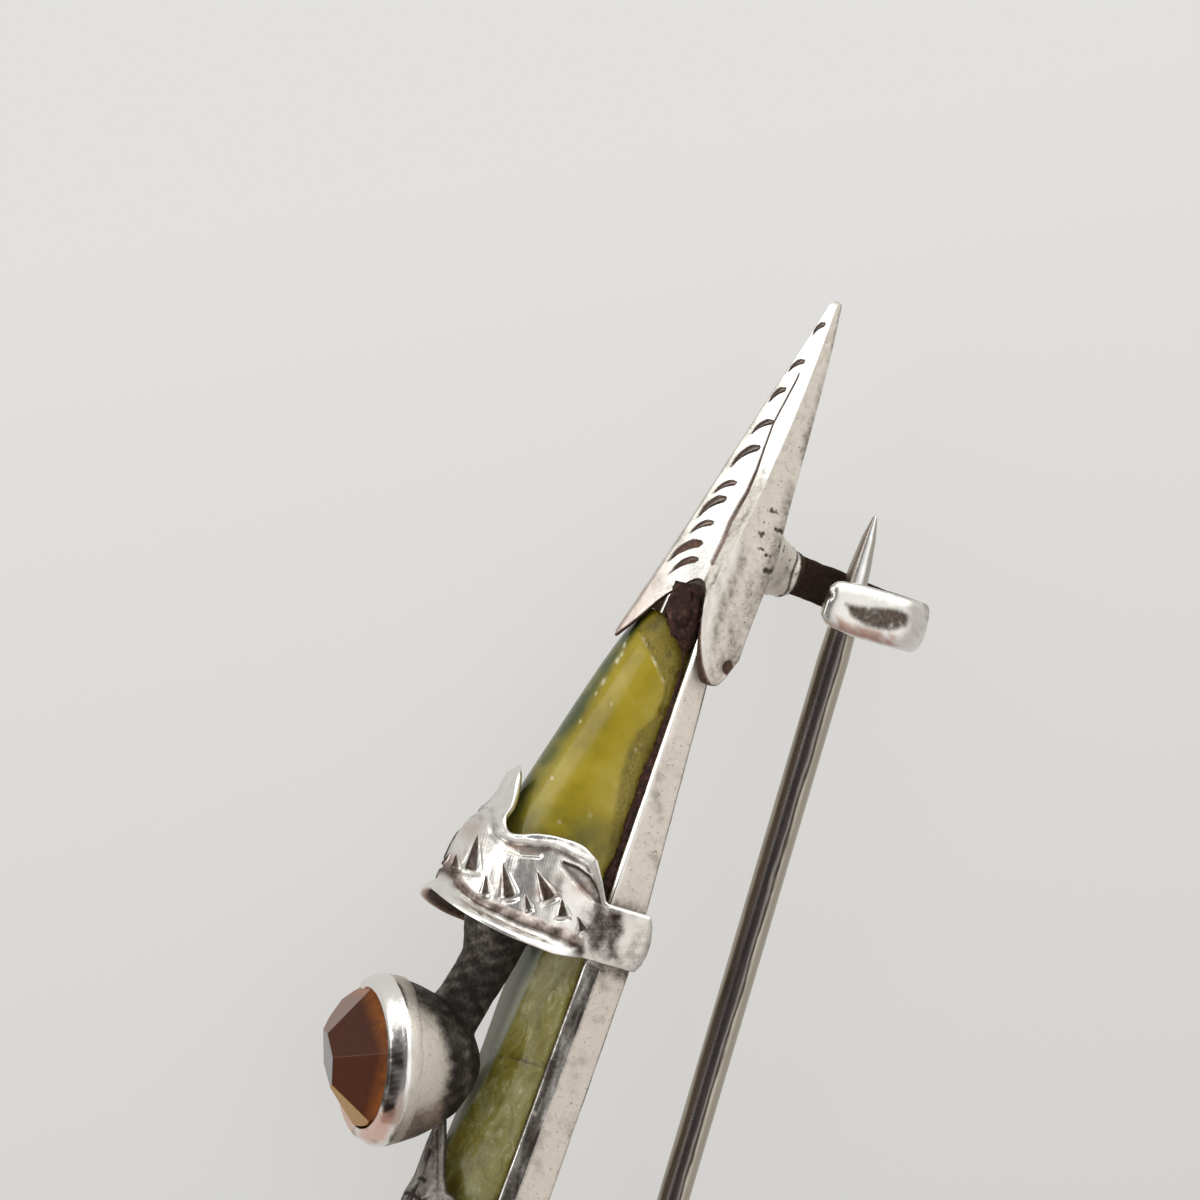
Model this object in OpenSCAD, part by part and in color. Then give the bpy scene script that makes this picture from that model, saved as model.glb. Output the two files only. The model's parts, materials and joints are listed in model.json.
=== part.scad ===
// A dirk-shaped kilt pin that lies on its far side.
// Every piece is drawn in the brooch's own directions: x runs from the point of the cap to the pommel,
// y runs across towards the near side, and z runs out of the front. Height 0 is the back of the tray.
// laid_down() then rolls the brooch onto its side and sets the origin under the middle of its box.

/* [Lengths from the point] */
// Point of the cap to the top of the arch in its edge
arch_x = 14.6; // [13.5:0.1:15.5]
// Point of the cap to the end of its front lobe
cap_l = 18.3; // [17.5:0.1:19]
// Point of the cap to the end of its side lobes
cap_side_l = 19.3; // [18.4:0.1:20]
// Point of the cap to the upper edge of the collar's plain band
collar_x = 30.8; // [29:0.1:33]
// Length of the collar's plain band
band_l = 2.6; // [2.2:0.1:3.2]
// Point of the cap to the upper edge of the hilt mount
mount_x = 45.7; // [44.5:0.1:49]
// Length of the hilt mount, from its upper edge to the end of the pommel
mount_l = 16.3; // [14.5:0.1:20]

/* [Tray] */
// Half the tray's width where it enters the cap
tray_half_cap = 3.2; // [3:0.05:3.3]
// Half the tray's width at the collar
tray_half_collar = 4.1; // [3.8:0.05:4.15]
// Half the tray's width at the hilt mount
tray_half_mount = 3.5; // [3.2:0.05:3.6]
// Thickness of the tray's side walls
tray_wall = 0.45; // [0.35:0.05:0.6]
// Thickness of the tray's floor
tray_floor = 0.5; // [0.4:0.05:0.7]
// Height of the side wall at the cap
wall_h_cap = 1.15; // [1:0.05:1.4]
// Height of the side wall at the collar
wall_h_collar = 2.1; // [1.8:0.05:2.3]
// Height of the side wall at the hilt mount
wall_h_mount = 2.8; // [2.5:0.05:3]
// How far the tray's back has bent forward at the hilt mount
back_rise = 0.4; // [0:0.05:0.5]
// Width of the bevel on the wall below the collar
bevel_w = 0.7; // [0.4:0.05:0.9]

/* [Tip cap] */
// Height of the cap's ridge at the end of the front lobe
cap_ridge_h = 4.5; // [4.2:0.05:4.7]
// Height of the edge between the cap's front and sides, at the end of the side lobes
cap_edge_h = 1.65; // [1.5:0.05:1.8]
// How far the point lies behind the tray's back
point_drop = 2.1; // [1.6:0.1:2.4]
// Half the cap's width at the end of the side lobes
cap_half = 3.85; // [3.75:0.05:4.1]
// Half the width and thickness of the blunt point
point_r = 0.22; // [0.15:0.01:0.3]
// Thickness of the cap's sheet
cap_wall = 0.38; // [0.3:0.01:0.4]
// Depth of the cap behind the tray's back, at its lower edge
cap_back = 0.95; // [0.8:0.05:1.1]
// Radius of the rivet hole in each side lobe
rivet_hole_r = 0.24; // [0.2:0.01:0.28]

/* [Catch] */
// Width of the catch's band
catch_w = 2.3; // [1.8:0.1:2.8]
// Thickness of the catch's band
catch_t = 0.9; // [0.7:0.05:1]
// Distance from the point to the middle of the catch
catch_x = 13.6; // [13:0.1:14]
// Radius of the boss that carries the catch
boss_r = 1.15; // [1:0.05:1.25]
// Distance from the brooch's middle plane to the far side of the catch's arm
catch_half = 2.12; // [2:0.02:2.2]
// Gap between the wire and the catch's lip
catch_gap = 0.35; // [0.25:0.05:0.45]
// Depth of the catch's bend past the middle of the wire
catch_depth = 4.05; // [3.5:0.05:4.5]
// Length of the catch's lip, from the bend's middle back towards the body
lip_l = 3.9; // [3.2:0.05:4.1]

/* [Pin] */
// Diameter of the pin's wire
wire_d = 1.5; // [1.2:0.05:1.6]
// Distance from the tray's back to the middle of the wire
wire_drop = 7.2; // [6.8:0.1:7.6]
// Distance from the cap's point to the wire's point
wire_point_x = 9.25; // [8.5:0.05:10]
// Length of the wire's tapering point
taper_l = 7.2; // [6:0.1:8]
// Length of the wire's thicker root beside the hinge
root_l = 2; // [1.6:0.1:2.6]
// Radius of the wire's very tip
tip_r = 0.12; // [0.08:0.01:0.15]
// Radius of the hinge barrel on the wire
barrel_r = 1.3; // [1.2:0.05:1.5]
// Width of the hinge barrel
barrel_w = 1.9; // [1.6:0.1:2]
// Radius of the hinge rivet
hinge_r = 0.5; // [0.4:0.05:0.6]
// Running gap at the hinge, round the rivet and beside the barrel
hinge_gap = 0.06; // [0.05:0.01:0.08]
// Thickness of each hinge ear
ear_t = 0.7; // [0.6:0.05:0.75]
// Distance from the pommel's end back to the hinge
hinge_inset = 4.8; // [4.4:0.1:5.6]

/* [Collar] */
// Half the collar's width above its rim
collar_half = 4.5; // [4.45:0.05:4.65]
// Height of the collar's front
collar_h = 8.9; // [8.6:0.1:9.4]
// How far the rim flares out of the front
rim_flare = 0.6; // [0.5:0.05:0.8]
// How far the rim flares out sideways
rim_flare_side = 0.4; // [0.2:0.05:0.5]
// Thickness of the collar's sheet
collar_wall = 0.3; // [0.24:0.01:0.32]
// How far the rim leans: its front lies this much nearer to the point than its ends
rim_lean = 1.5; // [1:0.1:1.8]
// Length of the leaf's prong above the band
prong_l = 5.1; // [4.4:0.1:5.6]

/* [Cup and neck] */
// Radius of the cup's rim
cup_r = 4.15; // [3.9:0.05:4.3]
// Depth of the cup's bowl
cup_depth = 5.05; // [4.8:0.05:5.15]
// Height of the middle of the cup's rim
cup_h = 9.45; // [9.4:0.05:10]
// Distance from the collar's band to the middle of the cup's rim
cup_reach = 10.05; // [9.6:0.05:10.8]
// Lean of the cup towards the hilt, in degrees
cup_lean = 13; // [8:1:16]
// Radius of the neck
neck_r = 1.2; // [1:0.05:1.3]

/* [Stones] */
// Height of the upper stone's front at the cap
stone_h_cap = 3.6; // [3.4:0.05:3.65]
// Height of the upper stone's front at the collar
stone_h_collar = 7.7; // [7.4:0.05:7.8]
// Height of the lower stone's front below the collar
low_stone_h_top = 3.55; // [3.3:0.05:3.65]
// Height of the lower stone's front at the hilt mount
low_stone_h_end = 4.95; // [4.6:0.05:5]
// Half the width of the lower stone's flat front, below the collar
low_stone_flat = 1.6; // [1:0.1:1.8]
// Width of the cement seam beside the stones
seam_w = 0.22; // [0.15:0.01:0.3]
// Gap between pieces that were set by hand
fit_gap = 0.04; // [0.03:0.01:0.05]
// Radius of the gem where the cup's rim holds it
gem_r = 3.2; // [3:0.05:3.25]
// Height of the gem's crown over the cup's rim
gem_h = 2.35; // [2.2:0.05:2.5]
// Height of the gem's girdle over the middle of the cup's rim
gem_girdle_h = 0.35; // [0.3:0.05:0.4]
// Depth of the gem under its girdle
pavilion_h = 2.2; // [2:0.1:2.3]

/* [Hilt] */
// Half the hilt mount's width
mount_half = 4; // [3.9:0.05:4.1]
// Height of the hilt mount's front
mount_h = 5.95; // [5.6:0.05:6.3]
// Thickness of the hilt mount's sheet
mount_wall = 0.38; // [0.3:0.02:0.4]

/* [Hidden] */
$fn = 48;
eps = 0.01;
band_end_x = collar_x + band_l;
hilt_end_x = mount_x + mount_l;

// Tip cap: how its ridge, edge, back and half width grow along its length, as shares
cap_rows = [
    // share of length, ridge, edge, back, half width
    [0, 0, 0, 0, 0],
    [0.12, 0.12, 0.1, 0.03, 0.155],
    [0.3, 0.3, 0.25, 0.12, 0.33],
    [0.48, 0.475, 0.45, 0.25, 0.5],
    [0.64, 0.625, 0.66, 0.4, 0.66],
    [0.78, 0.765, 0.86, 0.62, 0.79],
    [0.88, 0.87, 0.95, 0.82, 0.88],
    [1, 1, 1, 1, 1]];
function cap_at(u, column) = lookup(u, [for (row = cap_rows) [row[0], row[column]]]);
function cap_ridge_z(u) = -point_drop + point_r + (cap_ridge_h + point_drop - point_r) * cap_at(u, 1);
function cap_edge_z(u) = -point_drop + (cap_edge_h + point_drop) * cap_at(u, 2);
function cap_back_z(u) = -point_drop - point_r + (point_drop + point_r - cap_back) * cap_at(u, 3);
function cap_half_y(u) = point_r + (cap_half - point_r) * cap_at(u, 4);

// Tray: how its half width, wall height and back follow the length
tray_x0 = cap_l - 3;
tray_half_x0 = cap_half_y(tray_x0 / cap_side_l) - cap_wall - 2 * fit_gap;
tray_x1 = mount_x + 4.2;
tray_halves = [[tray_x0, tray_half_x0], [cap_l, tray_half_cap], [collar_x, tray_half_collar],
    [band_end_x, tray_half_collar], [mount_x, tray_half_mount]];
wall_tops = [[tray_x0, wall_h_cap - 0.25], [cap_l, wall_h_cap], [collar_x, wall_h_collar],
    [mount_x, wall_h_mount]];
backs = [[band_end_x, 0], [mount_x, back_rise]];
bed_t = 0.2;
bed_z = tray_floor + fit_gap;
stone_z = bed_z + bed_t + fit_gap;
stone_inset = tray_wall + seam_w + 2 * fit_gap;

// A point of a D-shaped section: angle 0 is the near side, 90 the front and 270 the back, and the corners
// of the back are the sharper the smaller the power is
sharp = 0.06;
function dee(a, half, back, side, front, power = sharp) =
    let (c = cos(a), s = sin(a))
    s >= -0.0001 ? [half * c, side + (front - side) * s]
        : [half * sign(c) * pow(abs(c), power), side - (side - back) * pow(abs(s), power)];

// Rest: the back corner and the rim of the collar and the pommel touch the floor, and set how far the
// brooch leans as it lies on its side
rim_side_z = 4.5;
rim_half = collar_half + rim_flare_side;
collar_side_z = 3.2;
collar_back = 0.34;
corner_points = [for (a = [-8, -15, -30, -45]) dee(a, collar_half, -collar_back, collar_side_z, collar_h)];
rest_roll = min([for (p = corner_points) atan((rim_half - p[0]) / (rim_side_z - p[1]))]);
rest_drop = rim_half * cos(rest_roll) - rim_side_z * sin(rest_roll);
bend_z = -wire_drop - catch_depth;
pommel_side_z = 3;
pommel_half = (rest_drop + pommel_side_z * sin(rest_roll)) / cos(rest_roll);
hinge_x = hilt_end_x - hinge_inset;

// Cup: its rim's middle and its direction
cup_x = collar_x + cup_reach;
gem_top_z = cup_h + (gem_h + 0.2) * cos(cup_lean);
box_front = gem_top_z * cos(rest_roll);
box_back = -bend_z * cos(rest_roll) + 0.1;
box_mid_y = (box_back - box_front) / 2;

// Rolls the brooch onto its far side, with the origin under the middle of its box
module laid_down() {
    translate([-hilt_end_x / 2, -box_mid_y, rest_drop])
        rotate([90 - rest_roll, 0, 0])
            children();
}

// A closed skin over rings of points, each from the near side over the front to the far side; the first
// and the last ring are flat caps
module skin(rings) {
    n = len(rings[0]);
    last = len(rings) - 1;
    walls = [for (i = [0:last - 1], j = [0:n - 1])
        let (a = i * n + j, b = i * n + (j + 1) % n, c = b + n, d = a + n)
        each [[a, c, b], [a, d, c]]];
    first_cap = [for (j = [0:n - 1]) j];
    last_cap = [for (j = [n - 1:-1:0]) last * n + j];
    polyhedron([for (ring = rings) each ring], [first_cap, each walls, last_cap]);
}

// A closed skin over profiles that run from the near side over the front and round, each from its lower edge
module loop_skin(profiles) {
    n = len(profiles[0]);
    m = len(profiles);
    walls = [for (i = [0:m - 1], j = [0:n - 1])
        let (k = (j + 1) % n, next = ((i + 1) % m) * n)
        let (a = i * n + j, b = i * n + k, c = next + k, d = next + j)
        each [[a, c, b], [a, d, c]]];
    polyhedron([for (p = profiles) each p], walls);
}

// The tray's outline seen from the front, drawn in by inset
module tray_plan(inset) {
    edge = [for (x = [tray_x0, cap_l, collar_x, band_end_x, mount_x, tray_x1])
        [x, lookup(x, tray_halves) - inset]];
    polygon([each edge, for (i = [len(edge) - 1:-1:0]) [edge[i][0], -edge[i][1]]]);
}

// A slab as long as the tray between two heights over its bent back, the upper one up to the wall's top
module tray_side(low, top_drop, x0 = tray_x0, x1 = tray_x1) {
    xs = [x0, for (x = [cap_l, collar_x, band_end_x, mount_x]) if (x > x0 && x < x1) x, x1];
    rotate([90, 0, 0])
        linear_extrude(4 * tray_half_collar, center = true)
            polygon([for (x = xs) [x, lookup(x, backs) + low],
                for (i = [len(xs) - 1:-1:0]) [xs[i], lookup(xs[i], wall_tops) - top_drop]]);
}

// A band of the tray's plan, as high as tray_side says
module tray_block(inset, low, top_drop, x0 = tray_x0, x1 = tray_x1) {
    intersection() {
        translate([0, 0, -2])
            linear_extrude(12)
                tray_plan(inset);
        tray_side(low, top_drop, x0, x1);
    }
}

// The wedge that bevels one wall below the collar
module wall_bevel(side) {
    hull()
        for (x = [band_end_x + 0.15, tray_x1 + eps]) {
            half = lookup(x, tray_halves) + eps;
            top = lookup(x, wall_tops) + eps;
            translate([x, 0, 0])
                rotate([90, 0, 90])
                    linear_extrude(eps)
                        polygon([[side * half, top - bevel_w], [side * (half - 0.5 * tray_wall), top],
                            [side * half, top]]);
        }
}

module back_frame() {
    color("silver")
        laid_down()
            difference() {
                tray_block(0, 0, 0);
                tray_block(tray_wall, tray_floor, -3, tray_x0 - 1, tray_x1 + 1);
                for (side = [-1, 1])
                    wall_bevel(side);
            }
}

// How far the cap's edge reaches, seen from the side: from the ridge down the front, and down the side
cap_edge_rows = [
    // part (0 front, 1 side), share down the part, reach of the edge
    [0, 0, cap_l],
    [0, 0.13, cap_l - 1],
    [0, 0.28, cap_l - 2.2],
    [0, 0.5, arch_x + 0.55],
    [0, 0.75, arch_x],
    [1, 0, arch_x + 0.5],
    [1, 0.12, arch_x + 1.7],
    [1, 0.3, cap_side_l - 1.5],
    [1, 0.5, cap_side_l - 0.55],
    [1, 0.68, cap_side_l],
    [1, 0.84, cap_side_l - 0.45],
    [1, 1, cap_side_l - 1.3]];

// A thin slice of the cap across its length, drawn in by the sheet's thickness t
module cap_slice(u, t) {
    half = cap_half_y(u) - t;
    ridge = cap_ridge_z(u) - 1.1 * t;
    edge = cap_edge_z(u) - 0.4 * t;
    back = t > 0 ? -fit_gap : cap_back_z(u);
    tuck = t > 0 ? 1 : 0.96;
    right = [[0.05 * half, ridge], [half, edge], [sqrt(tuck) * half, (edge + back) / 2], [tuck * half, back]];
    translate([u * cap_side_l, 0, 0])
        rotate([90, 0, 90])
            linear_extrude(eps)
                polygon([each right, for (i = [len(right) - 1:-1:0]) [-right[i][0], right[i][1]]]);
}

module cap_body(shares, t) {
    hull()
        for (u = shares)
            cap_slice(u, t);
}

module cap_shell() {
    hollow_u = (arch_x - 1.6) / cap_side_l;
    over = 1;
    edge = [for (row = cap_edge_rows)
        let (u = row[2] / cap_side_l,
            top = row[0] == 0 ? cap_ridge_z(u) : cap_edge_z(u),
            low = row[0] == 0 ? cap_edge_z(u) : cap_back_z(u))
        [row[2], top + (low - top) * row[1]]];
    difference() {
        union() {
            cap_body([0, 0.12, 0.3, 0.48, 0.64], 0);
            cap_body([0.64, 0.78, 0.88, 1], 0);
        }
        cap_body([hollow_u, 0.78, 0.88, 1.02], cap_wall);
        rotate([90, 0, 0])
            linear_extrude(4 * cap_half, center = true)
                polygon([[cap_l, cap_ridge_h + over], each edge, [edge[len(edge) - 1][0], -cap_back - over],
                    [cap_side_l + over, -cap_back - over], [cap_side_l + over, cap_ridge_h + over]]);
    }
}

// The boss on the cap's back and the catch that is soldered to it
module catch() {
    boss_z = cap_back_z(catch_x / cap_side_l);
    arm_y = -catch_half + catch_t;
    lip_y = catch_gap + wire_d / 2 + 0.1;
    bend_r = (lip_y + catch_t + catch_half) / 2;
    bend_y = lip_y + catch_t - bend_r;
    bend_c = bend_z + bend_r;
    translate([catch_x - 0.4, 0, 0])
        hull() {
            translate([0, 0.1, boss_z + 0.7])
                scale([1.5, 1.9, 1])
                    sphere(boss_r, $fn = 20);
            translate([0, arm_y / 2, boss_z - 0.65])
                scale([0.95, 1.1, 0.6])
                    sphere(boss_r, $fn = 20);
        }
    translate([catch_x, 0, 0])
        rotate([90, 0, 90])
            linear_extrude(catch_w, center = true) {
                translate([-catch_half, bend_c])
                    square([catch_t, boss_z - bend_c]);
                difference() {
                    translate([bend_y, bend_c])
                        circle(bend_r);
                    translate([bend_y, bend_c])
                        circle(bend_r - catch_t);
                    translate([bend_y - 2 * bend_r, bend_c])
                        square([4 * bend_r, 2 * bend_r]);
                }
                translate([lip_y, bend_c])
                    square([catch_t, lip_l - catch_t / 2]);
                translate([lip_y + catch_t / 2, bend_c + lip_l - catch_t / 2])
                    circle(catch_t / 2);
            }
}

// Holes for the rivets, drilled from the sides into the cap's thick back
rivet_x = cap_side_l - 1.15;
rivet_z = -0.42;
rivet_l = 1.1;
rivet_sunk = 0.15;
rivet_face = cap_half_y(rivet_x / cap_side_l) * 0.96;

module rivet_hole(side) {
    translate([rivet_x, side * (rivet_face + 1), rivet_z])
        rotate([side * 90, 0, 0])
            cylinder(h = 1 + rivet_l + rivet_sunk, r = rivet_hole_r, $fn = 24);
}

module rivet(side) {
    color("dimgray")
        laid_down()
            translate([rivet_x, side * (rivet_face - rivet_sunk), rivet_z])
                rotate([side * 90, 0, 0])
                    cylinder(h = rivet_l - fit_gap, r = rivet_hole_r - fit_gap / 2, $fn = 24);
}

module chape() {
    color("gainsboro")
        laid_down()
            difference() {
                union() {
                    cap_shell();
                    catch();
                }
                for (side = [-1, 1])
                    rivet_hole(side);
            }
}

module chape_rivet_near() { rivet(1); }
module chape_rivet_far() { rivet(-1); }

// Upper stone: a rounded front that rises from the cap to the collar
stone_x0 = cap_l - 1.9;
stone_x1 = collar_x + 0.95;
stone_slope = (stone_h_collar - stone_h_cap) / (collar_x - cap_l);
stone_rows = [
    // share of length, drop of the front, slant of the end
    [0, 0.7, 1],
    [0.03, 0.36, 1],
    [0.12, 0.16, 0.8],
    [0.35, 0, 0],
    [0.6, 0, 0],
    [0.85, 0, 0],
    [1, 0, 0]];
end_slant = 2.2;

function stone_front(x) = stone_h_cap + stone_slope * (x - cap_l);

function stone_ring(row) = [for (a = [0:15:180], i = [0, 1])
    if (i == 0 || a == 180)
        let (low = i == 1,
            x_flat = stone_x0 + row[0] * (stone_x1 - stone_x0),
            side = lookup(x_flat, wall_tops),
            half = lookup(x_flat, tray_halves) - stone_inset,
            p = dee(a, half, stone_z, side, stone_front(x_flat) - row[1]),
            z = low ? stone_z : p[1],
            slant = row[2] * end_slant * (1 - (z - stone_z) / (stone_front(x_flat) - stone_z)))
        [x_flat + slant, p[0], z]];

module upper_stone() {
    color("olivedrab")
        laid_down()
            skin([for (row = stone_rows)
                let (ring = stone_ring(row), near = ring[0], slant = row[2] * end_slant)
                [[ring[len(ring) - 1][0], near[1], stone_z], each ring]]);
}

// Cement: a bed under the stone and a seam up both sides of it
module cement_tray(x0, x1) {
    difference() {
        tray_block(tray_wall + fit_gap, bed_z, 0.08, x0, x1);
        tray_block(stone_inset - fit_gap, stone_z - fit_gap, -3, x0 - 1, x1 + 1);
    }
}

module upper_cement() {
    plug_x = tray_x0 + 0.1;
    color("saddlebrown")
        laid_down()
            cement_tray(plug_x, stone_x1);
}

// Lower stone: a flat front that narrows and rises towards the hilt
low_x0 = band_end_x - 0.35;
low_x1 = tray_x1 - 0.3;
low_rows = [
    // share of length, share of the flat front's width, share of the rise
    [0, 1, 0],
    [0.2, 0.85, 0.22],
    [0.45, 0.55, 0.55],
    [0.7, 0.12, 1],
    [1, 0.1, 0.95]];

module lower_stone() {
    color("yellowgreen")
        laid_down()
            skin([for (row = low_rows)
                let (x = low_x0 + row[0] * (low_x1 - low_x0),
                    half = lookup(x, tray_halves) - stone_inset,
                    flat = low_stone_flat * row[1],
                    side = lookup(x, wall_tops) - 0.1,
                    front = low_stone_h_top + (low_stone_h_end - low_stone_h_top) * row[2],
                    low = stone_z + lookup(x, backs))
                let (mid = (half + flat) / 2 + 0.12, mid_z = (side + front) / 2 + 0.1)
                [[x, half, low], [x, half, side], [x, mid, mid_z], [x, flat, front],
                    [x, -flat, front], [x, -mid, mid_z], [x, -half, side], [x, -half, low]]]);
}

module lower_cement() {
    color("saddlebrown")
        laid_down()
            cement_tray(low_x0, low_x1);
}

// Collar: where its upper edge lies round the section, from the near side to the front
leaf_rows = [
    // angle round the section, share of the prong's length over the band's upper edge
    [-90, 0],
    [-8, 0],
    [0, 0.34],
    [2, 0.37],
    [10, 0.45],
    [26, 0.47],
    [37, 0.45],
    [53, 0.38],
    [62, 0.45],
    [68, 0.55],
    [80, 0.9],
    [90, 1]];
// How the collar's front stands at shares of the length from the rim to the prong's tip
collar_rows = [
    // share of the prong, share of the front's height
    [-0.6, 1],
    [0, 0.985],
    [0.3, 0.955],
    [0.5, 0.9],
    [0.62, 0.84],
    [1, 0.79]];
flare_steps = [0, 0.06, 0.14, 0.5, 1];
flare_shape = [[0, 1], [0.06, 0.5], [0.14, 0.06], [0.5, 0], [1, 0]];

function mirror_angle(a) = a > 90 ? 180 - a : a;
function collar_top(a) = collar_x - prong_l * lookup(mirror_angle(a), leaf_rows);
function rim_weight(a) = lookup(mirror_angle(a), [[-8, 0], [0, 1], [90, 1]]);
function collar_low(a) =
    let (m = mirror_angle(a), up = max(0, sin(m)))
    band_end_x + (0.3 - rim_lean * up) * rim_weight(a);

// A point of the collar at angle a and share v from the lower edge to the upper one, moved in by t
function collar_point(a, v, t) =
    let (x = collar_low(a) + v * (collar_top(a) - collar_low(a)),
        flare = rim_weight(a) * lookup(v, flare_shape),
        high = collar_h * lookup((collar_x - x) / prong_l, collar_rows),
        half = min(collar_half, collar_half - 0.1 * (collar_x - x)),
        side = collar_side_z + (rim_side_z - collar_side_z) * flare,
        wide = half + rim_flare_side * flare,
        front = high + rim_flare * flare,
        p = dee(a, wide - t, -collar_back + t, side, front - t))
    [x, p[0], p[1]];

collar_angles = [each [-90:15:-15], -8, 0, 8, each [16:10:76], 83, 90, 97, each [104:10:164], 172, 180, 188,
    each [195:15:255]];

module collar_sheet() {
    loop_skin([for (a = collar_angles)
        [for (v = flare_steps) collar_point(a, v, 0),
            for (i = [len(flare_steps) - 1:-1:0]) collar_point(a, flare_steps[i], collar_wall)]]);
}

// The plate that closes the collar in front of the stones and carries the neck
module collar_plate() {
    plate_x = stone_x1 + 0.1;
    low = low_stone_h_top + 0.4;
    rotate([90, 0, 90])
        translate([0, 0, plate_x])
            linear_extrude(0.7)
                polygon([for (a = [10:10:170])
                    let (t = collar_wall / 2, p = dee(a, collar_half - t, 0, collar_side_z, collar_h - t))
                    [p[0], max(low, p[1])]]);
}

// Neck: stations along its middle line, from the plate into the bowl
neck_rows = [
    // distance from the band's edge, height, share of the radius across, share of the radius up
    [1.25, 5.75, 1.85, 1.35],
    [2.6, 5.5, 1.7, 1.3],
    [3.6, 5.45, 1.25, 1.15],
    [5.2, 5.85, 1.05, 1.1],
    [6.9, 6.5, 1.15, 1.1],
    [7.5, 6.8, 1.2, 1.1]];

module neck() {
    skin([for (row = neck_rows)
        [for (a = [0:24:359])
            [collar_x + row[0], neck_r * row[2] * cos(a), row[1] + neck_r * row[3] * sin(a)]]]);
}

// Cup: its outline from the bottom of the bowl to the rim's inner edge
bowl_rows = [
    // share of the radius, share of the depth
    [0, 1],
    [0.18, 0.975],
    [0.36, 0.9],
    [0.62, 0.73],
    [0.8, 0.5],
    [0.95, 0.19],
    [1, 0]];
rim_crest = 0.8;
seat_drop = 0.45;

module in_cup() {
    translate([cup_x, 0, cup_h])
        rotate([0, cup_lean, 0])
            children();
}

module cup() {
    in_cup()
        rotate_extrude()
            polygon([for (row = bowl_rows) [cup_r * row[0], -cup_depth * row[1]],
                [0.9 * cup_r, rim_crest], [gem_r + fit_gap, rim_crest - 0.05],
                [gem_r + fit_gap, gem_girdle_h - seat_drop], [0, gem_girdle_h - pavilion_h - 0.7]]);
}

module collar() {
    color("silver")
        laid_down() {
            collar_sheet();
            collar_plate();
            neck();
            cup();
        }
}

// Gem: each facet of its crown is a plane, and the table is the last of them
crown_rows = [
    // angle from the hilt's side towards the near side, slope, distance from the girdle's middle as a share
    [143, 41, 0.95],
    [67, 40, 0.97],
    [15, 40, 1.19],
    [186, 40, 1.15],
    [232, 42, 1.28],
    [277, 42, 1.2],
    [322, 42, 1.1],
    [-57, 10, 1.02]];
pavilion_facets = 8;

// Cuts away all that lies outside a plane that faces angle, slopes down that way and passes the girdle's
// middle at a distance
module facet_cut(angle, slope, distance) {
    size = 6 * gem_r;
    rotate([0, slope, angle])
        translate([-size / 2, -size / 2, distance])
            cube(size);
}

module gem() {
    crown_h = gem_h - gem_girdle_h;
    culet_r = 0.5;
    facet_slope = atan((gem_r * 0.97 - culet_r) / (pavilion_h - 0.25));
    color("darkorange")
        laid_down()
            in_cup()
                translate([0, 0, gem_girdle_h])
                    difference() {
                        translate([0, 0, -pavilion_h])
                            cylinder(h = 1.5 * crown_h + pavilion_h, r = gem_r, $fn = 64);
                        for (row = crown_rows)
                            facet_cut(row[0], row[1], row[2] * crown_h);
                        for (i = [0:pavilion_facets - 1])
                            rotate([0, 0, i * 360 / pavilion_facets])
                                translate([culet_r, 0, -pavilion_h])
                                    rotate([0, facet_slope, 0])
                                        translate([0, -2 * gem_r, -3 * gem_r])
                                            cube([3 * gem_r, 4 * gem_r, 6 * gem_r]);
                    }
}

// Hilt mount: how its half width, front and back go from the open edge to the pommel's end, as shares
mount_rows = [
    // share of length, half width, front, back
    [0, 1, 0.94, 1],
    [0.08, 1, 1, 1],
    [0.2, 1, 1, 1],
    [0.29, 0.98, 0.97, 0.9],
    [0.34, 0.88, 0.9, 0],
    [0.44, 0.82, 0.85, 0],
    [0.56, 0.84, 0.86, 0],
    [0.68, 0.93, 0.92, 0],
    [0.74, 0.97, 0.95, 0],
    [0.78, 0.9, 0.9, 0],
    [0.84, 1, 0.98, 0.3],
    [0.93, 1, 0.98, 0.4],
    [0.98, 0.8, 0.85, 0],
    [1, 0.45, 0.6, -1.6]];
mount_back = 0.45;
pommel_share = 0.8;
grip_side_z = 2.4;
function mount_at(u, column) = lookup(u, [for (row = mount_rows) [row[0], row[column]]]);

// How far the mount's open edge reaches up from its upper edge, round the section
lobe_rows = [[-90, 0], [0, -0.02], [20, -0.08], [35, -0.25], [50, -0.2], [66, 0.1], [80, 0.7], [90, 1]];
lobe_l = 3;

function mount_ring(u, t, x1 = hilt_end_x) = [for (a = [-90:15:269])
    let (open_x = mount_x - lobe_l * lookup(mirror_angle(a), lobe_rows),
        x = open_x + u * (x1 - open_x),
        v = max(0, (x - mount_x) / mount_l),
        lower = v > pommel_share,
        half = (lower ? pommel_half : mount_half) * mount_at(v, 1),
        side = lower ? pommel_side_z : grip_side_z,
        power = x > tray_x1 + 0.6 ? 1 : sharp,
        p = dee(a, half - t, -mount_back * mount_at(v, 3) + t, side, mount_h * mount_at(v, 2) - t, power))
    [x, p[0], p[1]]];

// The hinge point, turned so that its axis stands square to the floor
module at_hinge() {
    translate([hinge_x, 0, -wire_drop])
        rotate([rest_roll - 90, 0, 0])
            children();
}

// The fork that carries the hinge: two ears on a post out of the grip's back
ear_r = barrel_r + 0.1;
module hinge_fork() {
    half_w = barrel_w / 2 + hinge_gap + ear_t;
    root = wire_drop + 0.9;
    at_hinge()
        difference() {
            union() {
                cylinder(h = 2 * half_w, r = ear_r, center = true);
                translate([-ear_r, -root, -half_w])
                    cube([2 * ear_r, root, 2 * half_w]);
            }
            translate([-2 * ear_r, -ear_r - 0.2, ear_t - half_w])
                cube([4 * ear_r, 3 * ear_r, 2 * (half_w - ear_t)]);
        }
}

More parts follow.
